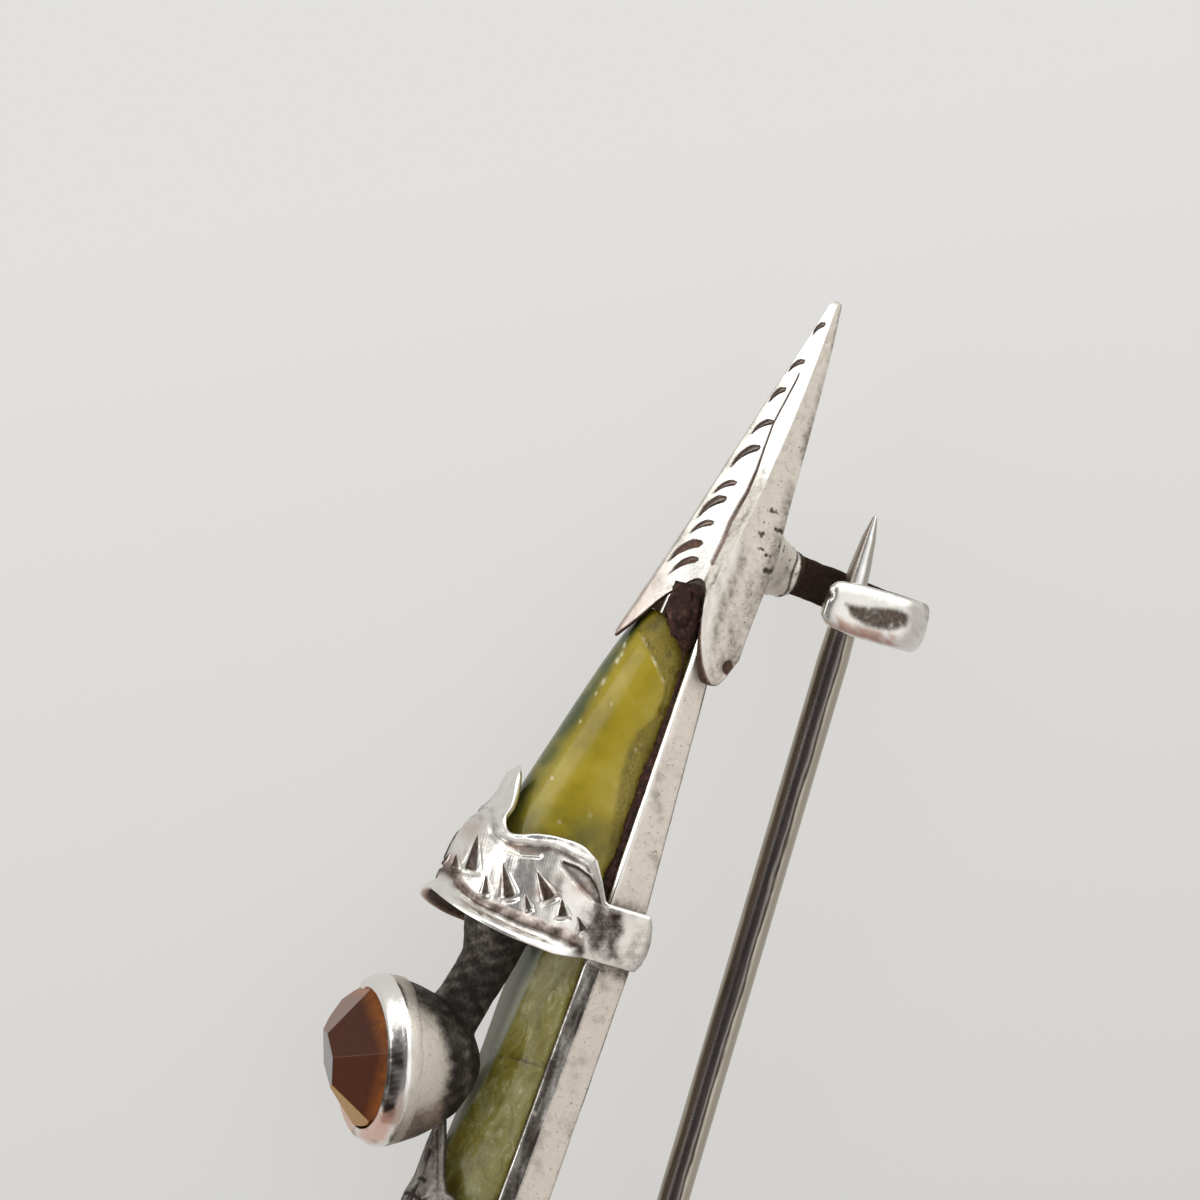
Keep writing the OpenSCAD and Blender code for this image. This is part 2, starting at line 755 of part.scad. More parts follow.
module hilt_mount() {
    sleeve_u = [0, 0.5, 1];
    sleeve_x1 = tray_x1 + 0.3;
    color("slategray")
        laid_down()
            difference() {
                union() {
                    skin([for (u = sleeve_u) mount_ring(1 - u, mount_wall, sleeve_x1),
                        for (row = mount_rows) mount_ring(row[0], 0)]);
                    hinge_fork();
                }
                at_hinge()
                    cylinder(h = 8, r = hinge_r + fit_gap, center = true);
            }
}

module pin_stem() {
    wire_r = wire_d / 2;
    stem_l = hinge_x - wire_point_x;
    color("lightgray")
        laid_down()
            at_hinge()
                difference() {
                    union() {
                        rotate([0, -90, 0])
                            rotate_extrude()
                                polygon([[0, 0], [1.15 * wire_r, 0], [wire_r, root_l],
                                    [wire_r, stem_l - taper_l],
                                    [0.88 * wire_r, stem_l - 0.65 * taper_l],
                                    [0.7 * wire_r, stem_l - 0.37 * taper_l],
                                    [0.46 * wire_r, stem_l - 0.16 * taper_l],
                                    [tip_r, stem_l - 0.02 * taper_l], [0, stem_l]]);
                        cylinder(h = barrel_w, r = barrel_r, center = true);
                    }
                    cylinder(h = 2 * barrel_w, r = hinge_r + hinge_gap, center = true);
                }
}

module hinge_rivet() {
    head_t = 0.25;
    half_l = barrel_w / 2 + hinge_gap + ear_t + fit_gap;
    color("lightgray")
        laid_down()
            at_hinge() {
                cylinder(h = 2 * half_l, r = hinge_r, center = true);
                for (side = [-1, 1])
                    translate([0, 0, side * (half_l + head_t / 2)])
                        cylinder(h = head_t, r = hinge_r + 0.35, center = true);
            }
}

back_frame();
chape();
chape_rivet_near();
chape_rivet_far();
upper_stone();
upper_cement();
collar();
gem();
lower_stone();
lower_cement();
hilt_mount();
pin_stem();
hinge_rivet();
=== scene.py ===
# A dirk-shaped silver kilt pin on its side, seen from above, on a pale table in soft studio light.
import json
import math
import bmesh
import bpy
import numpy as np
from mathutils import Matrix, Vector


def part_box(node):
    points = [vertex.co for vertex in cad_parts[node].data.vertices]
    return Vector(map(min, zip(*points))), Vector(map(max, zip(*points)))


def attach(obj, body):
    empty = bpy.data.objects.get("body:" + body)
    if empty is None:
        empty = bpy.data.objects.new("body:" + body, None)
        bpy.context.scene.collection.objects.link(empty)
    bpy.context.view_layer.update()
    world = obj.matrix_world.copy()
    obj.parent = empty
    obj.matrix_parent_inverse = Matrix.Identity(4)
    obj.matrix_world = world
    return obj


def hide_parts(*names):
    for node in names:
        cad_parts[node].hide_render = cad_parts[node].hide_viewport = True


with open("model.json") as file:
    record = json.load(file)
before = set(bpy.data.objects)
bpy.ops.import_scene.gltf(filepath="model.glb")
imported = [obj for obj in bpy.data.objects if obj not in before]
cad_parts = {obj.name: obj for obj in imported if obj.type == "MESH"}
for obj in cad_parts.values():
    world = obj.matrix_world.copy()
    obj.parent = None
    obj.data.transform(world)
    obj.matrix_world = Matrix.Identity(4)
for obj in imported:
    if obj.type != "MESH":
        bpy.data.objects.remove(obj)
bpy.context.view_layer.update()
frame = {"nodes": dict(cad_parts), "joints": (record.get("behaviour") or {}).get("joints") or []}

# The brooch's own directions, in millimetres: x from the cap's point to the pommel, y towards the near side
# and z out of the front. The rivets in the cap's side lobes lie along y, and the hinge is at HINGE.
HINGE = Vector((57.2, 0, -7.2))
MM = 0.001
HINGE_M = frame["joints"][0]["pos_m"]
rivet_near = sum(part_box("chape_rivet_near"), Vector()) / 2
rivet_far = sum(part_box("chape_rivet_far"), Vector()) / 2
across = (rivet_near - rivet_far).normalized()
front = Vector((0, -across.z, across.y))
roll = math.asin(across.y)
turn = Matrix(((1, 0, 0), (0, across.y, front.y), (0, across.z, front.z))).to_4x4()
LAID = Matrix.Translation(HINGE_M) @ turn @ Matrix.Scale(MM, 4) @ Matrix.Translation(-HINGE)

# The photograph looks at the brooch's near side, from 22 degrees towards its front. PX of its pixels are a
# millimetre, the brooch runs down the picture along DOWN, and its front is towards LEFT.
VIEW = math.radians(22)
DOWN = np.array([-0.284, 0.959])
LEFT = np.array([-0.959, -0.284])
PX = 21.0
# The middle of the photograph shows the brooch's point (AIM_X, 0, AIM_Z) from CAMERA_AWAY millimetres.
AIM_X, AIM_Z = 16.92, 5.24
CAMERA_AWAY, FRAME_WIDE, SENSOR = 600, 57.14, 36
PHOTO_MIDDLE = 600

# The cup's rim: radius, depth of the bowl below it, how far it leans to the hilt and where its middle is.
CUP_R, CUP_DEPTH, CUP_LEAN = 4.15, 5.05, math.radians(13)
CUP_CENTRE = np.array([40.85, 0, 9.45])


def add_camera():
    """The photograph's camera, square to the brooch's length."""
    tilt = VIEW - roll
    back = Vector((0, -math.sin(tilt), math.cos(tilt)))
    side = Vector((0, -math.cos(tilt), -math.sin(tilt)))
    along = Vector((1, 0, 0))
    right = DOWN[0] * along + LEFT[0] * side
    up = -DOWN[1] * along - LEFT[1] * side
    target = LAID @ Vector((AIM_X, 0, AIM_Z))
    data = bpy.data.cameras.new("camera")
    data.sensor_width = SENSOR
    data.lens = SENSOR * CAMERA_AWAY / FRAME_WIDE
    data.clip_start = 0.01
    obj = bpy.data.objects.new("camera", data)
    bpy.context.scene.collection.objects.link(obj)
    turned = Matrix((right, up, back)).transposed().to_4x4()
    obj.matrix_world = Matrix.Translation(target + back * CAMERA_AWAY * MM) @ turned
    bpy.context.scene.camera = obj


add_camera()


# Node helpers
class Tree:
    """A short way to add nodes to a node tree and to join their sockets."""

    def __init__(self, tree):
        self.tree = tree

    def add(self, kind, **values):
        node = self.tree.nodes.new("ShaderNode" + kind)
        for key, value in values.items():
            if hasattr(node, key):
                setattr(node, key, value)
            else:
                self.put(node, key.replace("_", " "), value)
        return node

    def put(self, node, name, value):
        socket = node.inputs[int(name[3:])] if name.startswith("in ") else node.inputs[name]
        if isinstance(value, bpy.types.NodeSocket):
            self.tree.links.new(value, socket)
        else:
            socket.default_value = value

    def put_all(self, node, **values):
        for key, value in values.items():
            self.put(node, key.replace("_", " "), value)

    def math(self, op, a, b=None, clamp=False):
        node = self.tree.nodes.new("ShaderNodeMath")
        node.operation = op
        node.use_clamp = clamp
        for i, v in enumerate((a, b)):
            if v is not None:
                self.put(node, f"in {i}", v)
        return node.outputs[0]

    def times(self, a, b):
        return self.math("MULTIPLY", a, b)

    def plus(self, a, b, clamp=False):
        return self.math("ADD", a, b, clamp)

    def less(self, a, b, clamp=False):
        return self.math("SUBTRACT", a, b, clamp)

    def dot(self, vector, towards):
        node = self.add("VectorMath", operation="DOT_PRODUCT")
        self.tree.links.new(vector, node.inputs[0])
        node.inputs[1].default_value = towards
        return node.outputs["Value"]

    def mix(self, share, a, b):
        node = self.tree.nodes.new("ShaderNodeMix")
        node.data_type = "RGBA"
        for i, v in ((0, share), (6, a), (7, b)):
            if isinstance(v, bpy.types.NodeSocket):
                self.tree.links.new(v, node.inputs[i])
            elif isinstance(v, (tuple, list)):
                node.inputs[i].default_value = (*v, 1)[:4]
            else:
                node.inputs[i].default_value = v
        return node.outputs[2]

    def ramp(self, value, *stops):
        node = self.tree.nodes.new("ShaderNodeValToRGB")
        ramp = node.color_ramp
        while len(ramp.elements) < len(stops):
            ramp.elements.new(0.5)
        for element, (place, colour) in zip(ramp.elements, stops):
            element.position = place
            element.color = (*colour, 1) if isinstance(colour, tuple) else (colour, colour, colour, 1)
        self.tree.links.new(value, node.inputs[0])
        return node.outputs[0]

    def span(self, value, low, high, out_low=0.0, out_high=1.0):
        node = self.tree.nodes.new("ShaderNodeMapRange")
        node.clamp = True
        self.tree.links.new(value, node.inputs[0])
        for i, v in enumerate((low, high, out_low, out_high)):
            node.inputs[i + 1].default_value = v
        return node.outputs[0]

    def noise(self, scale, detail=2.0, rough=0.5, vector=None, distort=0.0):
        node = self.tree.nodes.new("ShaderNodeTexNoise")
        node.inputs["Scale"].default_value = scale
        node.inputs["Detail"].default_value = detail
        node.inputs["Roughness"].default_value = rough
        node.inputs["Distortion"].default_value = distort
        if vector is not None:
            self.tree.links.new(vector, node.inputs["Vector"])
        return node.outputs[0]

    def bump(self, height, strength, distance, normal=None):
        node = self.tree.nodes.new("ShaderNodeBump")
        self.tree.links.new(height, node.inputs["Height"])
        node.inputs["Strength"].default_value = strength
        node.inputs["Distance"].default_value = distance
        if normal is not None:
            self.tree.links.new(normal, node.inputs["Normal"])
        return node.outputs[0]


def new_material(name):
    mat = bpy.data.materials.new(name)
    mat.use_nodes = True
    mat.node_tree.nodes.clear()
    tree = Tree(mat.node_tree)
    out = tree.add("OutputMaterial")
    shader = tree.add("BsdfPrincipled")
    mat.node_tree.links.new(shader.outputs[0], out.inputs[0])
    return mat, tree, shader


def place(tree, scale=(1, 1, 1)):
    """The surface's point in millimetres of the shared frame, stretched by scale."""
    coord = tree.add("TexCoord")
    mapping = tree.add("Mapping")
    tree.tree.links.new(coord.outputs["Object"], mapping.inputs[0])
    mapping.inputs["Scale"].default_value = [1000 * s for s in scale]
    return mapping.outputs[0]


def attribute(tree):
    """The red, green and blue of the piece's mask."""
    node = tree.add("Attribute", attribute_name="mask")
    parts = tree.add("SeparateColor")
    tree.tree.links.new(node.outputs["Color"], parts.inputs[0])
    return parts.outputs


# Materials
def silver(name, base, rough=0.2, dark=(0.06, 0.045, 0.038), warm=(0.5, 0.27, 0.2), matte=(0.5, 0.46, 0.41),
           patchy=0.25, stain=0.35):
    """Worn silver. The piece's mask darkens it (red), turns it copper brown (green) and dulls it (blue)."""
    mat, t, shader = new_material(name)
    where = place(t)
    big = t.noise(0.55, 3, 0.6, where)
    middle = t.noise(1.7, 5, 0.7, where, 0.6)
    fine = t.noise(5.0, 4, 0.65, where)
    spots = t.noise(7.0, 2, 0.5, where)
    mask = attribute(t)
    tone = t.mix(t.span(big, 0.4, 0.75, 0, patchy), base, tuple(0.6 * c for c in base))
    tone = t.mix(t.times(mask[2], 0.9), tone, matte)
    dull = t.times(t.span(middle, 0.5, 0.75, 0, stain), mask[2])
    tone = t.mix(dull, tone, (0.27, 0.2, 0.145))
    tone = t.mix(t.times(t.span(spots, 0.66, 0.71, 0, 0.6), mask[2]), tone, (0.12, 0.085, 0.06))
    edge = t.times(t.less(fine, 0.5), 0.6)
    red = t.plus(mask[0], t.times(edge, t.span(mask[0], 0, 0.2)), True)
    red = t.less(1.0, t.math("POWER", t.less(1.0, red), 2.0), True)
    tone = t.mix(mask[1], tone, warm)
    tone = t.mix(red, tone, dark)
    roughness = t.plus(t.span(fine, 0.3, 0.75, -0.06, 0.1), rough)
    roughness = t.plus(roughness, t.times(mask[2], 0.45))
    roughness = t.plus(roughness, t.times(red, 0.25), True)
    t.put_all(shader, Base_Color=tone, Metallic=1.0, Roughness=roughness)
    normal = t.bump(fine, 0.3, 0.00003)
    t.put(shader, "Normal", t.bump(t.times(middle, mask[2]), 0.35, 0.0001, normal))
    return mat


def pin_material():
    """Steel wire with painted reflections: dark and light bands along it, set by where they lie round the wire
    as the camera sees it.
    """
    mat, t, shader = new_material("steel_pin")
    where = place(t)
    parts = t.add("SeparateXYZ")
    t.tree.links.new(where, parts.inputs[0])
    x, y, z = parts.outputs
    dy, dz = t.less(y, 1000 * HINGE_M[1]), t.less(z, 1000 * HINGE_M[2])
    tilt = VIEW - roll
    radius = t.math("SQRT", t.plus(t.times(dy, dy), t.times(dz, dz)))
    side = t.plus(t.times(dy, -math.cos(tilt)), t.times(dz, -math.sin(tilt)))
    share = t.plus(t.times(t.math("DIVIDE", side, radius), 0.5), 0.5)
    long = place(t, (0.25, 1.5, 1.5))
    share = t.plus(share, t.span(t.noise(1.2, 3, 0.6, long), 0.3, 0.7, -0.05, 0.05))
    # painted reflections: dark and light bands round the wire
    reflected_bands = t.ramp(share, (0.0, (0.4, 0.36, 0.29)), (0.23, (0.5, 0.46, 0.38)), (0.28, (0.12, 0.1, 0.08)),
                     (0.31, (0.03, 0.025, 0.025)), (0.38, (0.24, 0.22, 0.2)), (0.45, (0.06, 0.05, 0.05)),
                     (0.55, (0.1, 0.085, 0.08)), (0.72, (0.15, 0.13, 0.12)), (0.86, (0.16, 0.13, 0.1)),
                     (0.94, (0.36, 0.32, 0.25)), (1.0, (0.42, 0.38, 0.31)))
    # painted highlight: a lighter ramp with a white band, used towards the tip
    bright = t.ramp(share, (0.0, (0.45, 0.42, 0.38)), (0.2, (0.5, 0.47, 0.42)), (0.3, (0.95, 0.95, 0.94)),
                    (0.5, (0.95, 0.95, 0.94)), (0.62, (0.45, 0.4, 0.36)), (1.0, (0.42, 0.37, 0.32)))
    lengthwise = t.span(x, -17.6, -15.6)
    tone = t.mix(lengthwise, bright, reflected_bands)
    roughness = t.span(t.noise(4.0, 3, 0.6, where), 0.3, 0.7, 0.22, 0.34)
    t.put_all(shader, Base_Color=tone, Metallic=1.0, Roughness=roughness)
    return mat


def plain(name, colour, rough, metallic=0.0):
    mat, t, shader = new_material(name)
    t.put_all(shader, Base_Color=(*colour, 1), Roughness=rough, Metallic=metallic)
    return mat


CAP_SILVER = silver("silver_cap", (0.78, 0.76, 0.72), 0.2, dark=(0.07, 0.046, 0.035), matte=(0.7, 0.65, 0.58))
TRAY_SILVER = silver("silver_tray", (0.76, 0.73, 0.68), 0.22, dark=(0.05, 0.04, 0.035),
                     matte=(0.72, 0.66, 0.59), stain=0.25)
COLLAR_SILVER = silver("silver_collar", (0.88, 0.86, 0.82), 0.18, dark=(0.05, 0.03, 0.022), patchy=0.45)
CUP_SILVER = silver("silver_cup", (0.86, 0.84, 0.8), 0.13, warm=(0.75, 0.44, 0.34), dark=(0.042, 0.034, 0.03),
                    matte=(0.62, 0.56, 0.48), patchy=0.1, stain=0.3)
CARVED_SILVER = silver("silver_carved", (0.74, 0.71, 0.68), 0.2, dark=(0.05, 0.04, 0.036))
STEEL = pin_material()


def olive_material():
    """The olive stone: its mask marks the rough part (red), pale lines and painted glints (green), and dark
    edges and painted shade (blue).
    """
    mat, t, shader = new_material("olive_stone")
    where = place(t)
    mask = attribute(t)
    cloud = t.noise(0.3, 4, 0.6, where)
    grain = t.noise(4.0, 3, 0.6, where)
    speck = t.noise(9.0, 3, 0.6, where)
    tone = t.ramp(cloud, (0.3, (0.2, 0.15, 0.008)), (0.5, (0.33, 0.255, 0.018)), (0.72, (0.42, 0.335, 0.06)))
    tone = t.mix(t.span(grain, 0.55, 0.8, 0, 0.25), tone, (0.36, 0.3, 0.09))
    tone = t.mix(mask[2], tone, (0.055, 0.07, 0.022))
    tone = t.mix(t.times(mask[0], t.span(speck, 0.35, 0.6, 0.45, 1)), tone, (0.12, 0.085, 0.014))
    tone = t.mix(t.times(mask[1], 0.9), tone, (0.8, 0.77, 0.55))
    t.put_all(shader, Base_Color=tone, Roughness=t.plus(t.times(mask[0], 0.4), 0.12), IOR=1.54,
              Specular_IOR_Level=0.26, Subsurface_Weight=0.4, Subsurface_Radius=(1.0, 0.9, 0.3),
              Subsurface_Scale=0.0008)
    normal = t.bump(grain, 0.12, 0.00003)
    t.put(shader, "Normal", t.bump(t.times(speck, mask[0]), 0.8, 0.00006, normal))
    return mat


def marbled_material():
    """The lower stone: its mask marks the crack (red) and the pale front (green)."""
    mat, t, shader = new_material("marbled_stone")
    where = place(t, (0.7, 1, 1))
    mask = attribute(t)
    warp = t.noise(0.5, 4, 0.65, where, 1.2)
    veins = t.noise(1.9, 8, 0.74, where, 0.8)
    milk = t.noise(0.7, 5, 0.7, where, 0.5)
    grain = t.noise(6.0, 3, 0.6, where)
    tone = t.ramp(warp, (0.3, (0.1, 0.075, 0.012)), (0.5, (0.19, 0.165, 0.028)), (0.68, (0.27, 0.245, 0.072)))
    tone = t.mix(t.span(milk, 0.5, 0.66, 0, 0.4), tone, (0.34, 0.35, 0.2))
    pale = t.times(t.span(veins, 0.54, 0.63), t.span(warp, 0.35, 0.6, 0.2, 1))
    tone = t.mix(t.times(pale, 0.65), tone, (0.5, 0.49, 0.3))
    tone = t.mix(t.span(veins, 0.44, 0.32, 0, 0.65), tone, (0.055, 0.04, 0.008))
    tone = t.mix(t.times(mask[1], 0.75), tone, (0.44, 0.46, 0.35))
    tone = t.mix(mask[0], tone, (0.07, 0.035, 0.012))
    t.put_all(shader, Base_Color=tone, Roughness=t.span(grain, 0.3, 0.8, 0.12, 0.3), IOR=1.54,
              Specular_IOR_Level=0.26, Subsurface_Weight=0.25, Subsurface_Radius=(0.8, 0.8, 0.4),
              Subsurface_Scale=0.0005, Normal=t.bump(grain, 0.2, 0.00003))
    return mat


def amber_material():
    """The gem, with a painted glow under its table. The colours of its facets, painted with the light each one
    shows, are its mask.
    """
    mat, t, shader = new_material("amber_stone")
    where = place(t)
    node = t.add("Attribute", attribute_name="mask")
    inner = t.noise(0.9, 3, 0.6, where, 1.0)
    fine = t.noise(5.0, 4, 0.7, where)
    axis = LAID.to_3x3() @ Vector((math.sin(CUP_LEAN), 0, math.cos(CUP_LEAN)))
    centre = LAID @ Vector(CUP_CENTRE)
    axis.normalize()
    height = t.less(t.dot(where, axis), centre.dot(axis) * 1000)
    # painted glow: orange towards the rim, where light comes through the stone
    glow = t.times(t.span(height, 0.6, 1.05, 1, 0), t.span(inner, 0.35, 0.65, 0.4, 1))
    tone = t.mix(t.times(glow, 0.6), node.outputs["Color"], (0.36, 0.105, 0.008))
    tone = t.mix(t.span(fine, 0.55, 0.8, 0, 0.22), tone, (0.2, 0.075, 0.012))
    t.put_all(shader, Base_Color=tone, Roughness=0.05, IOR=1.5, Specular_IOR_Level=0.22)
    return mat


def cement_material():
    mat, t, shader = new_material("cement")
    where = place(t)
    lump = t.noise(3.0, 4, 0.7, where)
    tone = t.ramp(lump, (0.38, (0.012, 0.005, 0.004)), (0.58, (0.042, 0.013, 0.009)),
                  (0.78, (0.15, 0.085, 0.06)))
    t.put_all(shader, Base_Color=tone, Specular_IOR_Level=0.2, Roughness=0.55,
              Normal=t.bump(lump, 0.8, 0.0002))
    return mat


OLIVE = olive_material()
MARBLED = marbled_material()
AMBER = amber_material()
CEMENT = cement_material()
RIVET = plain("dark_rivet", (0.02, 0.012, 0.01), 0.5, 0.6)

for node_name, material in {"chape_rivet_near": RIVET, "chape_rivet_far": RIVET, "upper_cement": CEMENT,
                            "lower_cement": CEMENT, "pin_stem": STEEL, "hinge_rivet": STEEL}.items():
    mesh = frame["nodes"][node_name].data
    mesh.materials.clear()
    mesh.materials.append(material)


# Helpers for shapes, which are in the brooch's millimetres, and for marks, which are in the photograph's pixels
def photo_px(points):
    """Where points of the brooch lie in the photograph; its far half is taken as the near one mirrored."""
    p = np.asarray(points, float)
    y = np.abs(p[..., 1])
    c, s = math.cos(VIEW), math.sin(VIEW)
    dx, dz = p[..., 0] - AIM_X, p[..., 2] - AIM_Z
    shown = CAMERA_AWAY / (CAMERA_AWAY - (y * c + dz * s)) * PX
    t = dz * c - y * s
    return np.stack([PHOTO_MIDDLE + shown * (DOWN[k] * dx + LEFT[k] * t) for k in (0, 1)], -1)


def unit(x):
    return np.clip(x, 0, 1)


def bell(x, width):
    """1 where x is 0, falling away on both sides."""
    return np.exp(-(x / width) ** 2)


def grow(values, others):
    """Raises values to others wherever those are higher."""
    np.maximum(values, others, out=values)


def smooth(x, low=0.0, high=1.0):
    """0 up to low and 1 from high on, with an eased rise between them."""
    x = unit((np.asarray(x, float) - low) / (high - low))
    return x * x * (3 - 2 * x)


def curve(x, table):
    """A smooth line through the (place, value) pairs of a table."""
    xs, ys = np.array(table, float).T
    x = np.clip(x, xs[0], xs[-1])
    d = np.diff(ys) / np.diff(xs)
    m = np.concatenate([[d[0]], (d[:-1] + d[1:]) / 2, [d[-1]]])
    flat = d[:-1] * d[1:] <= 0
    m[1:-1][flat] = 0
    i = np.clip(np.searchsorted(xs, x, side="right") - 1, 0, len(xs) - 2)
    h = xs[i + 1] - xs[i]
    u = (x - xs[i]) / h
    return ((2 * u ** 3 - 3 * u ** 2 + 1) * ys[i] + (u ** 3 - 2 * u ** 2 + u) * h * m[i]
            + (3 * u ** 2 - 2 * u ** 3) * ys[i + 1] + (u ** 3 - u ** 2) * h * m[i + 1])


def stroke(px, path):
    """Each point's distance from a line of pixels, its side of it, and the share of the way along it."""
    path = np.array(path, float)
    legs = np.diff(path, axis=0)
    lengths = np.hypot(*legs.T)
    starts = np.concatenate([[0], np.cumsum(lengths)])
    best = np.full(px.shape[:-1], 1e9)
    side = np.zeros(px.shape[:-1])
    share = np.zeros(px.shape[:-1])
    for a, leg, length, start in zip(path[:-1], legs, lengths, starts):
        r = px - a
        u = unit((r @ leg) / length ** 2)
        off = r - u[..., None] * leg
        dist = np.hypot(off[..., 0], off[..., 1])
        near = dist < best
        best = np.where(near, dist, best)
        side = np.where(near, np.sign(leg[0] * r[..., 1] - leg[1] * r[..., 0]), side)
        share = np.where(near, (start + u * length) / starts[-1], share)
    return best, side, share


def inside(px, outline, soft=1.0):
    """1 inside a closed outline of pixels and 0 outside, with a soft edge."""
    outline = np.array(outline, float)
    x, y = px[..., 0], px[..., 1]
    odd = np.zeros(px.shape[:-1], bool)
    for (x0, y0), (x1, y1) in zip(outline, np.roll(outline, -1, axis=0)):
        crosses = (y0 > y) != (y1 > y)
        with np.errstate(divide="ignore", invalid="ignore"):
            at = x0 + (y - y0) * (x1 - x0) / (y1 - y0 if y1 != y0 else 1e-9)
        odd ^= crosses & (x < at)
    dist, _, _ = stroke(px, np.vstack([outline, outline[:1]]))
    return smooth(np.where(odd, dist, -dist), -soft, soft)


def lumps(points, scale, seed, octaves=3):
    """Smooth noise between about -1 and 1 from a few crossing waves."""
    gen = np.random.default_rng(seed)
    total = np.zeros(points.shape[:-1])
    for i in range(octaves):
        for _ in range(5):
            k = gen.normal(size=3) * scale * 2 ** i
            total += np.sin(points @ k + gen.uniform(0, 6.28)) / 2 ** i
    return total / (2.2 * math.sqrt(5))


def px_lumps(px, wide, high, scale, seed):
    """Smooth noise over the photograph's pixels, for features of so many pixels."""
    return lumps(np.stack([px[..., 0] / wide, px[..., 1] / high, 0 * px[..., 0]], -1), scale, seed)


def waves(points, scale, seed, octaves, low, high):
    """Smooth noise as a share: 0 where it is low and 1 where it is high."""
    return smooth(lumps(points, scale, seed, octaves), low, high)


def spot(px, x, y, half_x, half_y):
    """A soft spot of pixels round (x, y)."""
    return np.exp(-((px[..., 0] - x) / half_x) ** 2 - ((px[..., 1] - y) / half_y) ** 2)


def dot(px, x, y, radius):
    """A soft round spot of pixels."""
    return bell(np.hypot(px[..., 0] - x, px[..., 1] - y), radius)


def rounded(p, times, start=1):
    """A grid of points with its section's corners rounded, in the coordinates from start on."""
    for _ in range(times):
        q = p.copy()
        q[:, 1:-1, start:] = (p[:, :-2, start:] + 2 * p[:, 1:-1, start:] + p[:, 2:, start:]) / 4
        p = q
    return p


def resampled(table, *stretches):
    """A profile's points at even steps; each stretch runs to a corner of it and has so many points."""
    table = np.array(table, float)
    run = np.concatenate([[0], np.cumsum(np.hypot(*np.diff(table, axis=0).T))])
    to, start = [np.zeros(1)], 0
    for corner, count in stretches:
        to.append(np.linspace(start, run[corner], count)[1:])
        start = run[corner]
    to = np.concatenate(to)
    return np.stack([np.interp(to, run, table[:, 0]), np.interp(to, run, table[:, 1])], -1)


def tube(rows, segments):
    """Rings in the y and z directions round a line of points, each (x, y, z, half y, half z)."""
    a = np.linspace(0, 2 * math.pi, segments, endpoint=False)
    return np.stack([np.stack([r[0] + 0 * a, r[1] + r[3] * np.cos(a), r[2] + r[4] * np.sin(a)], -1)
                     for r in rows])


def ring_faces(rows, cols):
    """Faces of a grid of points whose rows and columns both close."""
    i, j = np.meshgrid(np.arange(rows), np.arange(cols), indexing="ij")
    k, m = (j + 1) % cols, (i + 1) % rows
    return np.stack([i * cols + j, i * cols + k, m * cols + k, m * cols + j], -1).reshape(-1, 4)


def closed_faces(rows, cols):
    """Faces of a grid whose columns close, with a lid over its first and its last row."""
    faces = [tuple(f) for f in ring_faces(rows, cols)[:(rows - 1) * cols]]
    return faces + [tuple(range(cols))[::-1], tuple((rows - 1) * cols + j for j in range(cols))]


def grid_normals(p, wrap=False):
    """Unit normals of a grid of points, to the left of its rows seen along its columns."""
    du = np.gradient(p, axis=0)
    if wrap:
        dv = (np.roll(p, -1, axis=1) - np.roll(p, 1, axis=1)) / 2
    else:
        dv = np.gradient(p, axis=1)
    n = np.cross(dv, du)
    return n / np.maximum(np.linalg.norm(n, axis=-1, keepdims=True), 1e-9)


def make(name, points, faces, material, replaced=(), mask=None, body="brooch", sharp=None, flip=False):
    """A piece of the brooch from points in its own millimetres. The mask colours its points.

    The faces are a list, or the function that makes them from the number of rows and columns of points.
    """
    if callable(faces):
        faces = faces(*np.shape(points)[:2])
    points = np.asarray(points, float).reshape(-1, 3)
    laid = np.array(LAID)
    world = points @ laid[:3, :3].T + laid[:3, 3]
    mesh = bpy.data.meshes.new(name)
    faces = [tuple(int(i) for i in (f[::-1] if flip else f)) for f in faces]
    mesh.from_pydata([tuple(v) for v in world], [], faces)
    mesh.validate()
    for poly in mesh.polygons:
        poly.use_smooth = True
    if mask is not None:
        layer = mesh.color_attributes.new("mask", "FLOAT_COLOR", "POINT")
        values = np.ones((len(points), 4))
        values[:, :3] = unit(np.asarray(mask, float).reshape(-1, 3))
        layer.data.foreach_set("color", values.ravel())
    mesh.materials.append(material)
    obj = bpy.data.objects.new(name, mesh)
    bpy.context.scene.collection.objects.link(obj)
    if sharp is not None:
        mesh.set_sharp_from_angle(angle=math.radians(sharp))
    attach(obj, body)
    if replaced:
        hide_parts(*replaced)
    return obj


# Tip cap
CAP_L, CAP_SIDE_L, ARCH_X = 18.3, 19.3, 14.6
# Ridge, edge and back heights and half width at the cap's point, and how far each grows to the full section
CAP_POINT = (-1.88, -2.1, -2.32, 0.22)
CAP_GROWTH = (6.38, 3.75, 1.37, 3.63)
CAP_FLOOR, CAP_SHEET, CAP_HOLLOW_X = -0.04, 0.2, 12.8
# Shares of that growth, for each share of the cap's length
CAP_ROWS = np.array([[0, 0, 0, 0, 0], [0.12, 0.12, 0.1, 0.03, 0.155], [0.3, 0.3, 0.25, 0.12, 0.33],
                     [0.48, 0.475, 0.45, 0.25, 0.5], [0.64, 0.625, 0.66, 0.4, 0.66],
                     [0.78, 0.765, 0.86, 0.62, 0.79], [0.88, 0.87, 0.95, 0.82, 0.88], [1, 1, 1, 1, 1]])


def cap_section(x, t=0.0):
    """Ridge, edge and back heights and half width of the cap at x, drawn in by t."""
    u = x / CAP_SIDE_L
    ridge, edge, back, half = [CAP_POINT[k] + CAP_GROWTH[k] * curve(u, CAP_ROWS[:, [0, k + 1]])
                               for k in range(4)]
    return ridge - 1.1 * t, edge - 0.4 * t, back if t == 0 else np.full(np.shape(x), CAP_FLOOR), half - t


